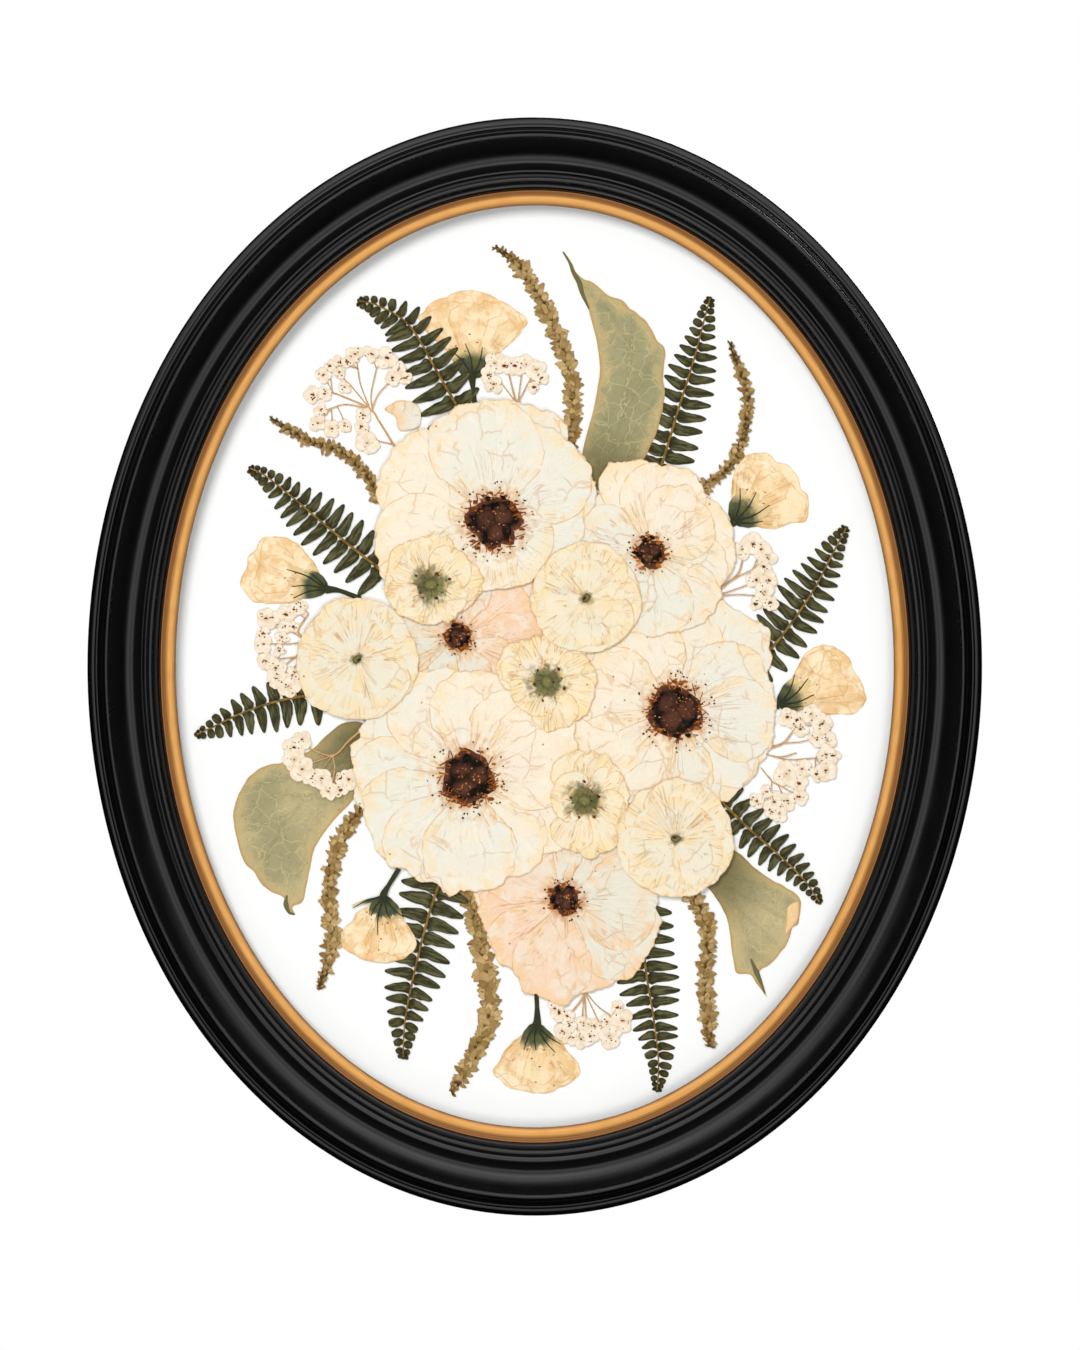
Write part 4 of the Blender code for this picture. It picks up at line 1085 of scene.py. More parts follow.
def calyx_material():
    """Sepals and stems, blue-green to olive, fading into the petals at their tips, with painted shade
    round the edges of the green domes.
    """
    paint = Paint("calyx_green", roughness=0.6, specular=0.15)
    out = paint.value("out")
    cloud = paint.noise(paint.place(), 0.3, 4, 0.6)
    paint.start(paint.span(cloud, 0.35, 0.65), (66, 76, 60), (92, 90, 52))
    paint.coat(paint.value("tint"), (146, 140, 86))
    paint.coat(paint.fade(out, 0.0, 5.0, 0.85), (28, 32, 18))
    paint.coat(paint.fade(paint.maths("ABSOLUTE", paint.value("turn")), 0.0, 0.3, 0.5), (40, 42, 20))
    paint.coat(paint.span(paint.total(out, (cloud, 4.0)), 8.5, 13.0, 0.0, 0.88), (236, 206, 150))
    # Painted shade round the edges of the green domes
    paint.coat(paint.times(paint.value("lip"), 0.6), (46, 50, 22))
    return paint.finish(cloud, 0.5, 0.25)


def heart_material():
    """The anemones' dark hearts: black, plum and red-brown lumps to orange-brown stamens, with
    painted shade round the edges of the domes.
    """
    paint = Paint("flower_heart", roughness=0.5, specular=0.1)
    place = paint.place()
    tint = paint.value("tint")
    cloud = paint.noise(place, 0.45, 4, 0.6)
    shifted = paint.plus(tint, paint.span(cloud, 0.25, 0.75, -0.08, 0.08))
    paint.start(paint.span(shifted, 0.05, 0.34), (10, 4, 1), (84, 50, 36))
    paint.coat(paint.span(shifted, 0.36, 0.5), (108, 52, 14))
    paint.coat(paint.span(shifted, 0.5, 0.75), (178, 98, 30))
    paint.coat(paint.span(shifted, 0.8, 0.98), (226, 164, 90))
    golden = paint.times(paint.span(paint.noise(place, 0.9, 2), 0.66, 0.72),
                         paint.span(tint, 0.1, 0.14))
    paint.coat(paint.times(golden, 0.8), (206, 134, 58))
    # Painted shade round the edges of the domes
    paint.coat(paint.times(paint.value("lip"), 0.85), (14, 6, 2))
    return paint.finish(cloud, 0.5, 0.3)


# Frame pieces

def oval(inset):
    """The outer edge of the frame, moved inwards by an inset."""
    around = circle((0, 0), 1.0, RING_STEPS)
    half = np.array([OUTER_WIDTH, OUTER_HEIGHT]) / 2
    normal = around / half
    normal /= np.linalg.norm(normal, axis=1)[:, None]
    return around * half - normal * inset


def section_points(stretches):
    """A section's points in order, smooth within each stretch, with corners between them."""
    points = []
    for stretch in stretches:
        if len(stretch) > 2:
            count = max(4, int(line_length(stretch) / SECTION_SPACING))
            places, _ = smooth_line(stretch, count)
            points += [tuple(place) for place in places[:-1]]
        else:
            points.append(stretch[0])
    if stretches[-1][-1] != stretches[0][0]:
        points.append(stretches[-1][-1])
    return points


def ring(name, stretches, material, slot, groove_and_edge_shade=None):
    """A section swept round the oval."""
    insets, heights = zip(*section_points(stretches))
    around = np.linspace(0, 2 * math.pi, RING_STEPS, endpoint=False)
    values = {
        "tint": np.repeat([groove_and_edge_shade(inset) if groove_and_edge_shade else 0.0 for inset in insets], RING_STEPS),
        "out": np.repeat([inset * 3.0 for inset in insets], RING_STEPS),
        "turn": np.tile(np.sin(around) * 12, len(insets)),
    }
    work = Work(name)
    work.add(stacked([oval(inset) for inset in insets], heights),
             loft_faces(len(insets), RING_STEPS, wrapped=True), material, values)
    work.finish(slot, sharp=38)


def gilt_groove_and_edge_shade(inset):
    """How brown the gilding is across the slip: in its groove, and as painted shade on its inner
    edge.
    """
    groove = max(0.0, 1 - abs(inset - 28.3) / 1.3)
    # The sight edge is browned as painted shade
    sight_edge_shade = max(0.0, 1 - abs(inset - 33.3) / 0.9)
    return min(1.0, 1.5 * max(groove, sight_edge_shade * 0.8))


def dust_cover(paints):
    """Brown paper over the back, its two edges slightly eased."""
    outline = oval(DUST_COVER_INSET)
    centre = outline.mean(0)
    out = outline - centre
    eased = centre + out * (1 - DUST_COVER_EASE / np.linalg.norm(out, axis=1))[:, None]
    points = stacked([eased, outline, outline, eased],
                     [0, DUST_COVER_EASE, DUST_COVER_THICKNESS - DUST_COVER_EASE,
                      DUST_COVER_THICKNESS])
    work = Work("dust_cover")
    work.add(points, loft_faces(4, len(outline)), paints["kraft_paper"], {})
    work.finish("kraft_paper", sharp=40)


def spin(name, centre, profile, paints, slot):
    """A turned piece from a profile of (radius, height), from its front to its back."""
    radii, heights = zip(*profile)
    points = stacked([circle(centre, radius, SPIN_STEPS) for radius in radii], heights)
    work = Work(name)
    work.add(points, turned_over(loft_faces(len(radii), SPIN_STEPS)), paints[slot], {})
    work.finish(slot, sharp=40)


def hanger_nail(name, side, paints):
    """A nail head over an end of the hanger, and the short shank that shows."""
    back = -HARDWARE_GAP * 2 - HANGER_THICKNESS - NAIL_HEAD_THICKNESS
    front = back + NAIL_HEAD_THICKNESS
    profile = [
        (0.3, -HARDWARE_GAP), (NAIL_RADIUS, -HARDWARE_GAP), (NAIL_RADIUS, front + 0.2),
        (NAIL_RADIUS, front), (NAIL_HEAD_RADIUS - 0.2, front), (NAIL_HEAD_RADIUS, front - 0.3),
        (NAIL_HEAD_RADIUS - 0.1, back + 0.2), (NAIL_HEAD_RADIUS * 0.6, back + 0.05), (0.3, back),
    ]
    spin(name, (side * HANGER_NAIL_X, OUTER_HEIGHT / 2 - HANGER_INSET), profile, paints, "steel")


def bumper(name, side, paints):
    """A small domed rubber foot low on the back."""
    angle = math.radians(-90 + side * BUMPER_ANGLE)
    centre = ((OUTER_WIDTH / 2 - HANGER_INSET) * math.cos(angle),
              (OUTER_HEIGHT / 2 - HANGER_INSET) * math.sin(angle))
    back = -HARDWARE_GAP - BUMPER_THICKNESS
    profile = [
        (0.5, -HARDWARE_GAP), (BUMPER_RADIUS, -HARDWARE_GAP), (BUMPER_RADIUS, back + 0.9),
        (BUMPER_RADIUS - 0.5, back + 0.25), (BUMPER_RADIUS * 0.75, back), (0.5, back),
    ]
    spin(name, centre, profile, paints, "rubber")


# Parts of plants

def round_tip(share):
    return 1 - 0.42 * np.abs(share) ** 3.2


def half_angle(length, width):
    """The half angle of a fan-shaped petal that makes it as wide as wanted."""
    share = np.linspace(0, 1, 40)
    for degrees in np.arange(8, 88, 1.0):
        widest = (length * round_tip(share) * np.sin(np.radians(degrees) * share)).max()
        if widest > width / 2:
            return degrees
    return 88.0


def petal_outline(centre, degrees, length, width, seed, ruffle):
    """A fan that narrows to its foot, with an uneven, ruffled end."""
    half = half_angle(length, width)
    share = np.linspace(-1, 1, 81)
    lean = 0.12 * float(wavy(seed * 0.37, 2, seed))
    lobes = np.abs(wavy(share * 3.4 + 9, 0.5, seed))
    reach = length * round_tip(share - lean * (1 - share ** 2))
    reach *= (0.975 + 0.055 * ruffle * lobes + 0.012 * ruffle * wavy(share * 9 + 3, 0.5, seed + 1)
              + 0.01 * ruffle * wavy(share * 24, 0.5, seed + 2))
    down = np.linspace(0.95, 0.12, 16)
    narrow = 0.82 + 0.18 * down ** 0.7
    left_turn = half * narrow * (1 + 0.05 * wavy(down * 5, 1, seed))
    right_turn = half * narrow * (1 + 0.05 * wavy(down * 5, 7, seed))
    left = np.column_stack(polar(centre, degrees + left_turn, down * reach[-1]))
    right = np.column_stack(polar(centre, degrees - right_turn, down * reach[0]))[::-1]
    arc = np.column_stack(polar(centre, degrees + half * share, reach))
    return np.vstack([arc, left, right])


def petal(work, centre, degrees, length, width, base, seed, material, tint,
          family, ruffle=1.0, spacing=1.1, folds=1.0, stain=0.0, lip=1.0, side=0.6):
    """One fan-shaped petal with creases that run out from the middle.

    The petals of one family share their broad folds.
    """
    def height(points, rim):
        out, turn = seen_from(points, centre, degrees)
        shared = (0.12 * ground(points, 9, 50, family + 4)
                  + 0.06 * ground(points, 3.5, 90, family + 5))
        near = np.clip(1.25 - out / length, 0, 1)
        radial = crease(wavy(turn / 6 + 40, out / 30, seed + 3), 0.14) * near
        cross = crease(ground(points, 8, 50, seed + 5), 0.06)
        curl = np.exp(-rim / 0.9) * wavy(turn / 5 + 20, 3, seed + 6)
        return base + folds * (shared + 0.06 * radial + 0.05 * cross + 0.06 * curl)

    def values(points, rim):
        out, turn = seen_from(points, centre, degrees)
        return {"out": out, "turn": np.radians(turn), "tint": tint, "seed": seed_share(seed),
                "stain": stain, "lip": lip, "side": side}

    outline = petal_outline(centre, degrees, length, width, seed, ruffle)
    sheet(work, outline, spacing, height, SHEET_THICKNESS, material, values)


def blade(work, base, degrees, length, width, height, seed, material, sides, tint=0.0,
          thickness=0.1, spacing=0.9, pucker=0.05, lift=0.0, fade=1.0):
    """A narrow blade, such as a leaflet, sepal or bract, that grows from its base."""
    share = np.linspace(0, 1, 14)
    halves = [np.interp(share, *zip(*widths)) * width / 2
              * (1 + 0.08 * wavy(share * 6, 2 + 3 * k, seed + k)) for k, widths in enumerate(sides)]
    along = np.array(polar((0, 0), degrees, 1.0))
    across = np.array([-along[1], along[0]])
    start = np.array(base)
    middle = start + np.outer(share * length, along)
    left = middle + np.outer(halves[0], across)
    right = middle - np.outer(halves[1], across)
    outline = smooth_outline(np.vstack([right, left[::-1]]), spacing * 0.6)

    def front(points, rim):
        offset = points - start
        out, side = offset @ along, offset @ across
        ridge = np.exp(-(side / (width * 0.12)) ** 2)
        cup = (side / (width / 2)) ** 2
        rough = ground(points, 2, 70, seed)
        return height + lift * out / length + pucker * (rough - ridge + 0.6 * cup)

    def values(points, rim):
        offset = points - start
        return {"out": offset @ along * fade, "turn": offset @ across, "tint": tint,
                "seed": seed_share(seed)}

    sheet(work, outline, spacing, front, thickness, material, values)


def dome(work, centre, radius, squash, tall, base, seed, material, values):
    """A smooth low dome with an uneven round edge, marked for painted shade round that edge."""
    angle = np.arange(0, 360, 15)
    reach = radius * (1 + 0.1 * wavy(angle / 50, 2, seed))
    outline = np.column_stack(polar((0, 0), angle, reach))
    heading = math.radians(seed % 180)
    turn = np.array([[math.cos(heading), math.sin(heading)], [-math.sin(heading), math.cos(heading)]])
    outline = np.array(centre) + (outline * (1, squash)) @ turn
    # The lip value, 1 at the edge and fading inwards, is painted as shade round the dome by the heart
    # and calyx materials
    sheet(work, outline, radius / 4,
          lambda points, rim: base + tall * (1 - np.exp(-rim / (0.35 * radius))), 0.1, material,
          lambda points, rim: dict(values, lip=np.exp(-(rim / (0.32 * radius)) ** 2)))


def scatter(work, rng, centre, radius, count, band, size, flat, tall, height, tints, corners, seed,
            material):
    """Angular lumps strewn over a band round a middle, the band given as shares of the radius."""
    for k in range(count):
        degrees = rng.uniform(0, 360)
        x, y = polar(centre, degrees, radius * rng.uniform(*band))
        wide = rng.uniform(*size)
        lump(work, (x, y, height), (wide, wide * rng.uniform(*flat), tall), seed + k, material,
             {"tint": rng.choice(tints)}, corners)


def heart(work, centre, radius, base, seed, material):
    """Large dark lumps, ringed by orange-brown chips and stamens, with loose dark anthers."""
    rng = random_of(seed)
    angle = np.arange(0, 360, 12)
    rough = radius * 0.8 * (1 + 0.18 * wavy(angle / 24, 4, seed))
    sheet(work, np.column_stack(polar(centre, angle, rough)), 1.6,
          lambda points, rim: base + 0.04 + 0 * rim, 0.1, material,
          lambda points, rim: {"tint": 0.45 - 0.15 * np.clip(rim, 0, 3)})
    scatter(work, rng, centre, radius, int(radius * 4), (0.7, 0.98), (0.6, 1.6), (0.35, 0.6), 0.28,
            base + 0.16, (0.42, 0.58, 0.66, 0.74), 9, seed + 100, material)
    scatter(work, rng, centre, radius, int(radius * 1.3), (0.5, 0.82), (1.0, 1.9), (0.5, 0.9), 0.4,
            base + 0.24, (0.0, 0.02, 0.08), 12, seed + 200, material)
    for k, (turn, reach, size, tall, tint) in enumerate(HEART_DOMES):
        place = polar(centre, seed % 60 + turn, radius * rng.uniform(*reach))
        dome(work, place, radius * rng.uniform(*size), rng.uniform(0.75, 0.95), tall,
             base + 0.2 + 0.06 * k, seed + k, material, {"tint": tint, "rim": 1.0})
    scatter(work, rng, centre, radius, int(radius * 1.5), (0.15, 0.75), (0.4, 0.9), (0.4, 0.7), 0.2,
            base + 0.66, (0.0, 0.03, 0.5, 0.66), 8, seed + 300, material)
    scatter(work, rng, centre, radius, int(radius * 2.4), (0.15, 0.9), (0.26, 0.4), (0.7, 1), 0.14,
            base + 0.72, (0.9, 0.97), 8, seed + 400, material)
    for k in range(int(radius * 2.6)):
        stamen(work, rng, centre, radius, base, seed + 700 + k, material)


def stamen(work, rng, centre, radius, base, seed, material):
    """A bent filament at the rim of a heart, and a loose anther beyond it."""
    degrees = rng.uniform(0, 360)
    start = radius * rng.uniform(0.6, 0.85)
    end = radius * rng.uniform(0.92, 1.04)
    bend = rng.uniform(-14, 14)
    line = [polar(centre, degrees, start), polar(centre, degrees + bend, (start + end) / 2),
            polar(centre, degrees + bend * 1.6, end)]
    places, _ = smooth_line(line, 7)
    rod(work, places, base + np.linspace(0.42, 0.12, 7), rng.uniform(0.12, 0.22), material, 5, 0.7,
        {"tint": rng.choice([0.5, 0.62, 0.72])})
    size = rng.uniform(0.3, 0.5)
    x, y = polar(centre, degrees + rng.uniform(-9, 9), radius * rng.uniform(1.04, 1.26))
    lump(work, (x, y, base + 0.14), (size, size * rng.uniform(0.8, 1), 0.22), seed, material,
         {"tint": rng.choice([0.02, 0.2, 0.42])}, 14)


def floret(work, centre, radius, base, seed, paints):
    """A tiny flower of three to five round petals with brown specks at its middle."""
    rng = random_of(seed)
    lobes = rng.choice([3, 4, 4, 5])
    turn = rng.uniform(0, 360)
    for k in range(lobes):
        heading = turn + k * 360 / lobes + rng.uniform(-16, 16)
        middle = np.array(polar(centre, heading, radius * rng.uniform(0.44, 0.6)))
        angle = np.arange(0, 360, 20)
        reach = radius * rng.uniform(0.56, 0.72) * (1 + 0.12 * wavy(angle / 40, 2, seed + k))

        def height(points, rim, own=seed + k, level=base + 0.07 * k):
            return level + 0.06 * ground(points, 1, 99, own) - 0.08 * np.exp(-rim / 0.6)

        def values(points, rim, own=seed + k):
            out, _ = seen_from(points, centre, 0)
            return {"out": out / radius * 3, "seed": seed_share(own)}

        sheet(work, np.column_stack(polar(middle, angle, reach)), 0.9, height, 0.05,
              paints["white_floret"], values)
    for k in range(rng.choice([2, 3, 4, 5])):
        x, y = polar(centre, rng.uniform(0, 360), radius * rng.uniform(0.2, 0.8))
        size = rng.uniform(0.22, 0.4)
        lump(work, (x, y, base + 0.3), (size, size * 0.9, 0.12), seed + k, paints["flower_heart"],
             {"tint": rng.choice([0.1, 0.4, 0.46])}, 14)
    size = rng.uniform(0.5, 1.0)
    lump(work, (*centre, base + 0.28), (size, size * 0.7, 0.14), seed + 9, paints["flower_heart"],
         {"tint": rng.choice([0.42, 0.46, 0.55])}, 9)


# Plants

def anemone(name, paints):
    centre, dark, layer, warmth, petals = ANEMONES[name]
    work = Work(name)
    seed = seed_of(name)
    back = flower_level(layer)
    slot = "blush_petal" if "blush" in name else "ivory_petal"
    for k, (degrees, length, width) in enumerate(petals):
        turned = math.radians(degrees - WARM_SIDE[name])
        tint = warmth * (0.75 + 0.75 * math.cos(turned) + 0.2 * math.sin(seed + 2.1 * k))
        petal(work, centre, degrees, length, width, back + 0.1 + k * PETAL_STEP, seed + 17 * k,
              paints[slot], tint, seed, ruffle=1.5, stain=dark * 1.25, lip=0.8,
              side=0.5 + 0.5 * math.cos(turned))
    heart(work, centre, dark, back + 0.15 + len(petals) * PETAL_STEP, seed, paints["flower_heart"])
    work.finish(slot)


def ranunculus(name, paints):
    """A full round flower of overlapping broad petals with a small green middle."""
    centre, radius, layer, warmth = RANUNCULUS[name]
    work = Work(name)
    seed = seed_of(name)
    back = flower_level(layer)
    cream = paints["disc_petal"]
    for k in range(9):
        petal(work, centre, seed % 40 + k * 160, radius * (1.0 + 0.015 * (k % 3 - 1)), radius * 1.15,
              back + 0.05 + k * 0.03, seed + 13 * k, cream, 0.15, seed, folds=0.55,
              stain=3.0, lip=0.9 if k < 6 else 0.4, side=warmth)
    for k in range(4):
        petal(work, centre, seed % 50 + k * 144, radius * (0.7 + 0.09 * (k % 3)), radius * 1.05,
              back + 0.32 + k * 0.025, seed + 400 + 13 * k, cream, 0.05, seed, folds=0.55,
              spacing=1.0, stain=3.0, lip=0.1, side=warmth)
    base = back + 0.5
    dome(work, centre, 1.9, 0.75, 0.4, base, seed + 50, paints["calyx_green"],
         {"out": 3.2, "rim": 1.0, "tint": 0.75, "turn": 1.0})
    dome(work, polar(centre, seed % 360, 0.6), 0.8, 0.6, 0.3, base + 0.35, seed + 51,
         paints["flower_heart"], {"tint": 0.36})
    work.finish("cream_petal")


def blossom(name, paints):
    centre, layer, petals = BLOSSOMS[name]
    work = Work(name)
    seed = seed_of(name)
    back = flower_level(layer) + 0.05
    for k, (degrees, length, width) in enumerate(petals):
        petal(work, centre, degrees, length, width, back + k * 0.04, seed + 11 * k,
              paints["cream_petal"], 0.3, seed, ruffle=2.0, spacing=1.0, folds=0.8, stain=8.0,
              lip=0.75)
    blossom_middle(work, centre, back + len(petals) * 0.04, seed, paints)
    work.finish("cream_petal")


def blossom_middle(work, centre, base, seed, paints):
    """Green scales round a green knob, with brown anthers and thin filaments about them."""
    rng = random_of(seed)
    green = paints["calyx_green"]
    dark = paints["flower_heart"]
    for k in range(5):
        degrees = k * 72 + seed % 60 + rng.uniform(-14, 14)
        blade(work, polar(centre, degrees, 0.6), degrees, rng.uniform(4.2, 6.8),
              rng.uniform(3.6, 5.6), base + 0.16 + 0.03 * k, seed + 60 + k, green, (BLUNT, BLUNT),
              tint=rng.uniform(0.1, 0.6), pucker=0.1, fade=1.8)
        tip = polar(centre, degrees + 20, rng.uniform(4.5, 7.5))
        dome(work, tip, rng.uniform(0.5, 0.8), 0.7, 0.2, base + 0.3, seed + 62 + k, dark,
             {"tint": rng.choice([0.4, 0.46, 0.55])})
    dome(work, centre, 2.6, 0.8, 0.5, base + 0.34, seed + 75, green,
         {"out": 3.4, "rim": 1.0, "tint": 0.85, "turn": 1.0})
    dome(work, polar(centre, seed % 360, 0.8), 1.0, 0.7, 0.3, base + 0.8, seed + 76, green,
         {"out": 4.4, "rim": 1.0, "tint": 1.0, "turn": 1.0})
    for k in range(9):
        x, y = polar(centre, k * 137, 2.4 + 1.2 * math.sqrt(k))
        lump(work, (x, y, base + 0.42), (0.45, 0.35, 0.16), seed + 90 + k, dark,
             {"tint": (0.02, 0.42, 0.6, 0.45)[k % 4]}, 10)
    for k in range(9):
        degrees = k * 40 + 11
        places, _ = smooth_line([polar(centre, degrees, 2.0), polar(centre, degrees + 8, 5.0),
                                 polar(centre, degrees + 4, 6.2 + k % 3)], 6)
        rod(work, places, base + 0.16, 0.11, dark, 5, 0.7, {"tint": 0.66})


def reach_along(outline, start, degrees):
    """Distance from a point to the outline in each of the given directions."""
    outline = np.asarray(outline, float)
    edge = np.roll(outline, -1, axis=0) - outline
    offset = outline - np.array(start)
    reaches = []
    for angle in degrees:
        heading = polar((0, 0), angle, 1.0)
        cross = heading[0] * edge[:, 1] - heading[1] * edge[:, 0]
        cross = np.where(np.abs(cross) < TINY, TINY, cross)
        far = (offset[:, 0] * edge[:, 1] - offset[:, 1] * edge[:, 0]) / cross
        share = (offset[:, 0] * heading[1] - offset[:, 1] * heading[0]) / cross
        hits = far[(share >= 0) & (share <= 1) & (far > 0)]
        reaches.append(hits.max() if len(hits) else 0.0)
    return np.array(reaches)


def bud_petals(work, outline, root, heading, back, seed, material):
    """A broad petal with the bud's whole outline, and three narrower ones fanned over it."""
    def values(points, rim):
        out, turn = seen_from(points, root, heading)
        return {"out": out, "turn": np.radians(turn), "tint": 0.5, "seed": seed_share(seed),
                "stain": 9.0, "lip": 0.7, "side": 0.6}

    def relief(base, shift):
        def height(points, rim):
            out, turn = seen_from(points, root, heading)
            radial = crease(wavy(turn / 8 + 40, out / 20, seed + shift), 0.18)
            return base + 0.06 * radial + 0.06 * ground(points, 6, 80, seed)
        return height

    along = np.arange(len(outline))
    ruffle = 0.035 * np.abs(wavy(along / 5.5, 1, seed)) + 0.01 * wavy(along / 1.7, 3, seed) - 0.015
    whole = outline + (outline - outline.mean(0)) * ruffle[:, None]
    sheet(work, whole, 1.0, relief(back + 0.06, 3), SHEET_THICKNESS, material, values)
    share = np.linspace(-1, 1, 49)
    for k, (shift, spread) in enumerate(((-28, 26), (29, 27), (4, 20))):
        angles = heading + shift + np.linspace(-spread, spread, 49)
        reach = reach_along(outline, root, angles) * (0.97 - 0.05 * k)
        reach = reach * (1 - 0.16 * np.abs(share) ** 3)
        reach = reach * (0.98 + 0.05 * np.abs(wavy(share * 4 + 9, k, seed)))
        tip = np.column_stack(polar(root, angles, reach))
        foot = np.column_stack(polar(root, angles[::-8], reach[::-8] * 0.12))
        sheet(work, np.vstack([tip, foot]), 1.0, relief(back + 0.13 + 0.06 * k, 20 * k),
              SHEET_THICKNESS, material, values)


def bud(name, paints):
    """A half-open flower on its side: fanned petals, sepals over their root, and a stem."""
    outline, root, stem, sepals = BUDS[name]
    work = Work(name)
    seed = seed_of(name)
    edge = smooth_outline(outline, 0.7)
    heading = heading_of(edge.mean(0) - root)
    green = paints["calyx_green"]
    back = GREEN_BACK + (BUD_LIFT if name == LIFTED_BUD else 0.0)
    bud_petals(work, edge, root, heading, back, seed, paints["bud_petal"])
    for k, (degrees, length, width) in enumerate(sepals):
        blade(work, root, degrees, length, width, back + 0.42 + 0.03 * k, seed + 70 + k, green,
              (SEPAL, SEPAL), pucker=0.06)
        curve = [root, polar(root, degrees - 3, length * 0.5),
                 polar(root, degrees + 5, length * 0.98)]
        places, _ = smooth_line(curve, 12)
        rod(work, places, back + 0.56 + 0.03 * k, np.linspace(0.42, 0.14, 12), green, 6, 0.4,
            {"out": 1.0, "rim": 1.0, "turn": 1.0})
    places, _ = smooth_line([root] + stem[1:], 14)
    rod(work, places, back + 0.36, np.interp(np.arange(14), [0, 2, 5, 13], [1.7, 1.3, 0.85, 1.0]),
        green, 9, 0.3, {"out": 2.0, "rim": 1.0})
    for k in range(5):
        x, y = polar(root, heading - 20 + 12 * k, 10 + 3 * (k % 3))
        lump(work, (x, y, back + 0.42), (0.55, 0.3, 0.12), seed + 90 + k, paints["flower_heart"],
             {"tint": 0.5}, 8)
    work.finish("cream_petal")


def leaflet_length(share):
    return float(np.interp(share, [0, 0.45, 0.72, 0.88, 1], [1, 1, 0.64, 0.34, 0.14]))


def leaflet_width(share):
    return float(np.interp(share, [0, 0.7, 0.86, 1], [0.94, 0.9, 0.92, 1.0]))


def fern(name, paints):
    """A frond: pairs of leaflets, each with an ear at its base, along a golden midrib."""
    midrib, pairs, longest_left, longest_right, layer = FERNS[name]
    work = Work(name)
    seed = seed_of(name)
    back = green_level(layer)
    green = paints["fern_green"]
    places, directions = smooth_line(midrib, MIDRIB_STEPS + 1)
    whole = line_length(places)
    for pair in range(pairs):
        left_over = 1 - (pair + 0.5) / pairs
        share = 1 - left_over ** LEAFLET_CROWDING
        spacing = whole * (LEAFLET_CROWDING / pairs) * left_over ** (LEAFLET_CROWDING - 1)
        step = int(share * MIDRIB_STEPS)
        along = directions[step]
        across = np.array([-along[1], along[0]])
        for turn, longest in ((1, longest_left), (-1, longest_right)):
            foot = places[step] + along * (0.14 * spacing * turn) + across * (0.25 * turn)
            reach = longest * leaflet_length(share)
            reach *= 1 + 0.07 * float(wavy(pair * 0.7, turn + 9, seed))
            heading = heading_of(along) + turn * (82 - 16 * share ** 3)
            heading += 5 * float(wavy(pair * 1.3, turn + 9, seed))
            sides = (BLUNT, BLUNT) if share > 0.8 else (TAPERED, EARED)
            blade(work, foot, heading, reach, spacing * leaflet_width(share), back + 0.14,
                  seed + pair * 31 + turn * 7, green, sides[::turn],
                  tint=max(0.0, (share - 0.6) * 1.6), spacing=0.85, pucker=0.08)
    blade(work, places[-6], heading_of(directions[-1]), 2.4, 1.8, back + 0.17, seed + 999, green,
          (BLUNT, BLUNT), tint=0.6)
    line, _ = smooth_line(midrib, 30)
    rod(work, line, back + 0.24, np.linspace(0.55, 0.24, 30), paints["golden_midrib"], 8, 0.4)
    work.finish("fern_green")


def leaf(name, paints):
    """A broad dry leaf, its veins raised and its surface gently buckled."""
    outline, veins, layer = LEAVES[name]
    work = Work(name)
    seed = seed_of(name)
    back = green_level(layer)
    edge = smooth_outline(outline, 1.0)
    uneven = 0.011 * wavy(np.arange(len(edge)) / 2.6, 1, seed)
    edge = edge + (edge - edge.mean(0)) * uneven[:, None]
    lines = np.vstack([smooth_line(vein, 50)[0] for vein in veins])
    foot = np.array(veins[0][0])

    def from_vein(points):
        return np.sqrt(((points[:, None, :] - lines) ** 2).sum(2)).min(axis=1)

    def height(points, rim):
        rib = np.exp(-(from_vein(points) / 0.6) ** 2)
        fine = crease(ground(points, 5, 60, seed + 1), 0.1)
        return back + 0.18 + 0.08 * rib + 0.06 * ground(points, 8, 60, seed) + 0.04 * fine

    def values(points, rim):
        return {"turn": from_vein(points), "seed": 0.3, "tint": 1.0 if name == "leaf_top" else 0.0,
                "out": np.linalg.norm(points - foot, axis=1)}

    sheet(work, edge, 1.1, height, 0.1, paints["sage_leaf"], values)
    places, _ = smooth_line(LEAF_TIPS[name], 24)
    rod(work, places, back + 0.3, np.interp(np.arange(24), [0, 6, 14, 23], [0.3, 0.55, 1.0, 0.3]),
        paints["calyx_green"], 8, 0.3, {"out": 4.0, "rim": 1.0, "tint": 0.35, "turn": 1.0})
    if name in LEAF_FLAPS:
        sheet(work, smooth_outline(LEAF_FLAPS[name], 0.8), 1.0,
              lambda points, rim: back + 0.4 + 0.1 * (1 - np.exp(-rim)), 0.06, paints["bud_petal"],
              lambda points, rim: {"out": 20.0, "seed": 0.7, "tint": 0.8, "side": 1.0, "lip": 0.8})
    work.finish("sage_leaf")


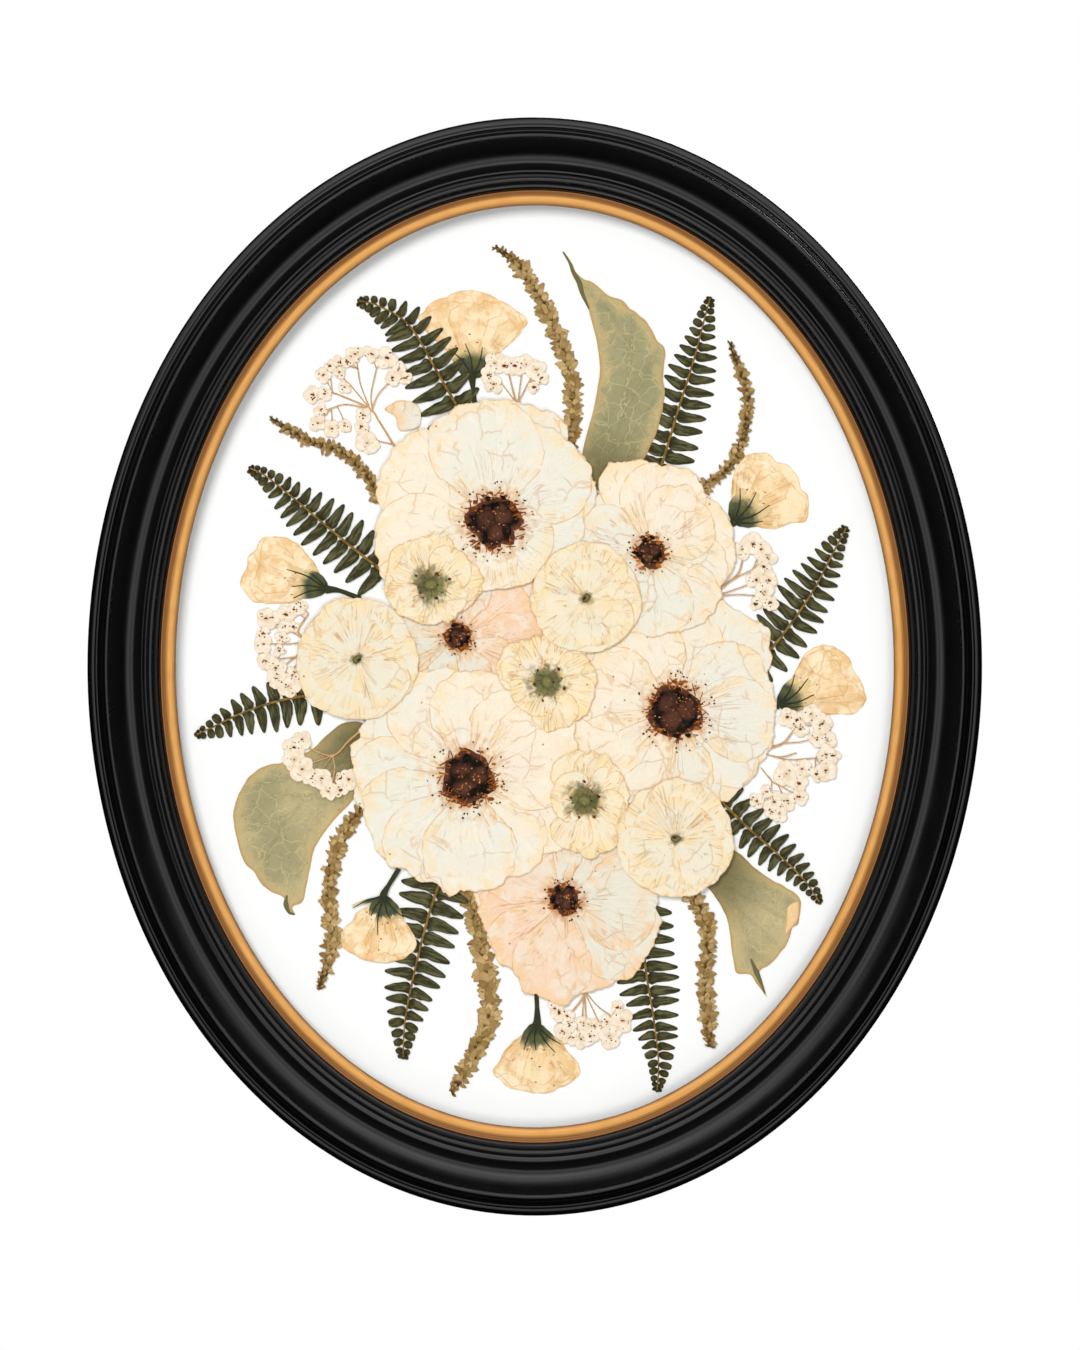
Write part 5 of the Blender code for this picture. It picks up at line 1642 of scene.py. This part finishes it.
def catkin(name, paints):
    """A spike of small pointed bracts in ragged whorls along a thin stalk."""
    line, (start, middle, end), layer = CATKINS[name]
    work = Work(name)
    seed = seed_of(name)
    rng = random_of(seed)
    back = green_level(layer)
    tan = paints["tan_bract"]
    count = int(line_length(line) / WHORL_SPACING)
    places, directions = smooth_line(line, count)
    widths = 0.88 * np.interp(np.linspace(0, 1, count), [0, 0.16, 0.85, 1],
                              [start, middle, middle, end])
    # The stalk shows dark in the gaps: its low out value takes the painted shade of the bract feet
    rod(work, places, back + 0.1, widths * 0.25, tan, 9, 0.05,
        {"tint": 0.0, "out": 0.3, "rim": 1.0})
    for k in range(count):
        width = widths[k] * (1 + 0.14 * float(wavy(k * 0.9, 3, seed)))
        along = heading_of(-directions[k])
        for number, lean in enumerate((-82, 80, -46, 44, -8)):
            turn = lean + rng.uniform(-28, 28)
            reach = width * rng.uniform(0.42, 0.68)
            foot = places[k] + rng.uniform(-0.5, 0.5, 2)
            blade(work, foot, along + turn, reach, width * rng.uniform(0.22, 0.36),
                  back + 0.16 + 0.05 * number + rng.uniform(0, 0.06), seed + 7 * k + number, tan,
                  (BRACT, BRACT), tint=rng.uniform(0, 1) ** 1.3, thickness=0.06, spacing=1.2,
                  pucker=0.1, lift=rng.uniform(0.1, 0.4))
    work.finish("tan_bract")


def umbel(name, paints):
    """Florets on thin stalks, each joined to the nearest of the stems."""
    florets, stems = UMBELS[name]
    work = Work(name)
    seed = seed_of(name)
    back = green_level(UMBEL_LAYER)
    tan = paints["tan_stalk"]
    joints = []
    for k, stem in enumerate(stems):
        places, _ = smooth_line(stem, 14)
        joints += [tuple(place) for place in places[6:]]
        rod(work, places, back + 0.1, np.linspace(0.46, 0.28, 14) if k == 0 else 0.24, tan, 7, 0.35)
    joints = np.array(joints)
    for k, (x, y, radius) in enumerate(florets):
        near = joints[np.argmin(((joints - (x, y)) ** 2).sum(1))]
        if np.linalg.norm(near - (x, y)) > 1.0:
            bend = (np.array((x, y)) + near) / 2 + 0.4 * wavy(k, 0.5, seed)
            places, _ = smooth_line([near, bend, (x, y)], 8)
            rod(work, places, back + 0.1, 0.2, tan, 6, 0.4)
        floret(work, (x, y), radius, back + 0.16 + 0.03 * (k % 4), seed + 19 * k, paints)
    if name == LOOSE_PETAL_UMBEL:
        sheet(work, smooth_outline(LOOSE_PETAL, 0.8), 1.0,
              lambda points, rim: back + 0.15 + 0.05 * ground(points, 4, 50, 5), 0.06,
              paints["blush_petal"], lambda points, rim: {"out": 20.0, "seed": 0.4, "lip": 0.8})
    work.finish("white_floret")


# Staging

def make_camera():
    camera = bpy.data.cameras.new("camera")
    camera.sensor_fit = "VERTICAL"
    camera.sensor_height = SENSOR_HEIGHT
    camera.lens = SENSOR_HEIGHT * CAMERA_DISTANCE / VIEW_HEIGHT
    holder = bpy.data.objects.new("camera", camera)
    holder.location = (VIEW_CENTRE[0], VIEW_PLANE - CAMERA_DISTANCE, VIEW_CENTRE[1])
    holder.rotation_euler = (math.radians(90), 0, 0)
    bpy.context.scene.collection.objects.link(holder)
    bpy.context.scene.camera = holder


def make_lamp(name, place, size, power, mirrored):
    """A soft square lamp turned to the middle of the frame."""
    light = bpy.data.lights.new(name, "AREA")
    light.shape = "RECTANGLE"
    light.size = size
    light.size_y = size
    light.energy = power
    lamp = bpy.data.objects.new(name, light)
    lamp.location = place
    lamp.rotation_euler = (-Vector(place)).to_track_quat("-Z", "Y").to_euler()
    lamp.visible_glossy = mirrored
    lamp.visible_transmission = False
    bpy.context.scene.collection.objects.link(lamp)


def make_world():
    """White studio: even light, a white ground, and reflections bright above and in front."""
    world = bpy.data.worlds.new("studio")
    bpy.context.scene.world = world
    world.use_nodes = True
    sky = Nodes(world.node_tree)
    rays = sky.node("LightPath")
    heading = sky.node("SeparateXYZ", {0: sky.node("TexCoord").outputs["Generated"]})
    front = sky.times(heading.outputs["Y"], -1.0)
    circle_in_front = sky.times(sky.span(front, 0.55, 0.9), sky.span(front, 0.985, 0.995, 1.0, 0.04))
    above = sky.times(sky.span(heading.outputs["Z"], 0.25, 0.7), sky.span(front, -0.2, 0.3))
    glossy = sky.plus(sky.times(circle_in_front, 1.3), sky.times(above, 1.5))
    glossy = sky.plus(glossy, 0.004)
    seen = sky.plus(sky.times(rays.outputs["Is Camera Ray"], 1.0 - SKY_LIGHT), SKY_LIGHT)
    inputs = {0: rays.outputs["Is Glossy Ray"], 2: seen, 3: glossy}
    strength = sky.node("Mix", inputs, data_type="FLOAT").outputs[0]
    background = world.node_tree.nodes["Background"]
    background.inputs["Color"].default_value = (1.0, 1.0, 1.0, 1.0)
    sky.set(background.inputs["Strength"], strength)


def make_stage():
    """A pale round floor below the frame, short enough to stay out of the front view."""
    points = circle((0, 0), FLOOR_RADIUS, FLOOR_STEPS)
    mesh = bpy.data.meshes.new("floor")
    mesh.from_pydata([(x * MM, y * MM, FLOOR_LEVEL) for x, y in points], [],
                     [tuple(range(FLOOR_STEPS))])
    floor = bpy.data.objects.new("floor", mesh)
    bpy.context.scene.collection.objects.link(floor)
    paint = Paint("pale_floor", roughness=0.9)
    paint.start(paint.noise(paint.place(), 0.01, 2), (232, 232, 230), (238, 238, 236))
    paint.look("Base Color", paint.base)
    mesh.materials.append(paint.material)
    floor.visible_glossy = False


def make_paints():
    paints = {
        "black_lacquer": lacquer_material(),
        "gilt": gilt_material(),
        "clear_glass": glass_material(),
        "white_card": board_material(),
        "grey_board": card_material("grey_board", (128, 118, 104), (156, 146, 130)),
        "kraft_paper": card_material("kraft_paper", (154, 118, 80), (184, 146, 104)),
        "steel": metal_material("brassed_steel", (206, 186, 140), (150, 132, 96)),
        "rubber": rubber_material(),
        "fern_green": fern_material(),
        "golden_midrib": stalk_material("golden_midrib", 0.5, 0.4, 0.5, (92, 68, 14), (150, 116, 44)),
        "sage_leaf": leaf_material(),
        "tan_bract": bract_material(),
        "white_floret": floret_material(),
        "tan_stalk": stalk_material("tan_stalk", 0.55, 0.3, 0.6, (182, 136, 86), (210, 168, 116)),
        "calyx_green": calyx_material(),
        "flower_heart": heart_material(),
    }
    for name, colours in PETAL_COLOURS.items():
        paints[name] = petal_material(name, *colours)
    return paints


def dress_frame(frame, paints):
    ring("moulding", MOULDING_STRETCHES, paints["black_lacquer"], "black_lacquer")
    ring("gilt_lip", GILT_STRETCHES, paints["gilt"], "gilt", gilt_groove_and_edge_shade)
    for name, slot in KEPT_SOLIDS.items():
        materials = frame["nodes"][name].data.materials
        materials.clear()
        materials.append(paints[slot])
    dust_cover(paints)
    hanger_nail("hanger_nail_left", -1, paints)
    hanger_nail("hanger_nail_right", 1, paints)
    bumper("bumper_left", -1, paints)
    bumper("bumper_right", 1, paints)


def main():
    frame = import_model()
    paints = make_paints()
    bpy.context.scene.view_settings.view_transform = "Standard"
    make_camera()
    make_world()
    for name, settings in LAMPS.items():
        make_lamp(name, *settings)
    make_stage()
    dress_frame(frame, paints)
    for make, names in ((anemone, ANEMONES), (ranunculus, RANUNCULUS), (blossom, BLOSSOMS),
                        (bud, BUDS), (fern, FERNS), (leaf, LEAVES), (catkin, CATKINS),
                        (umbel, UMBELS)):
        for name in names:
            make(name, paints)


main()
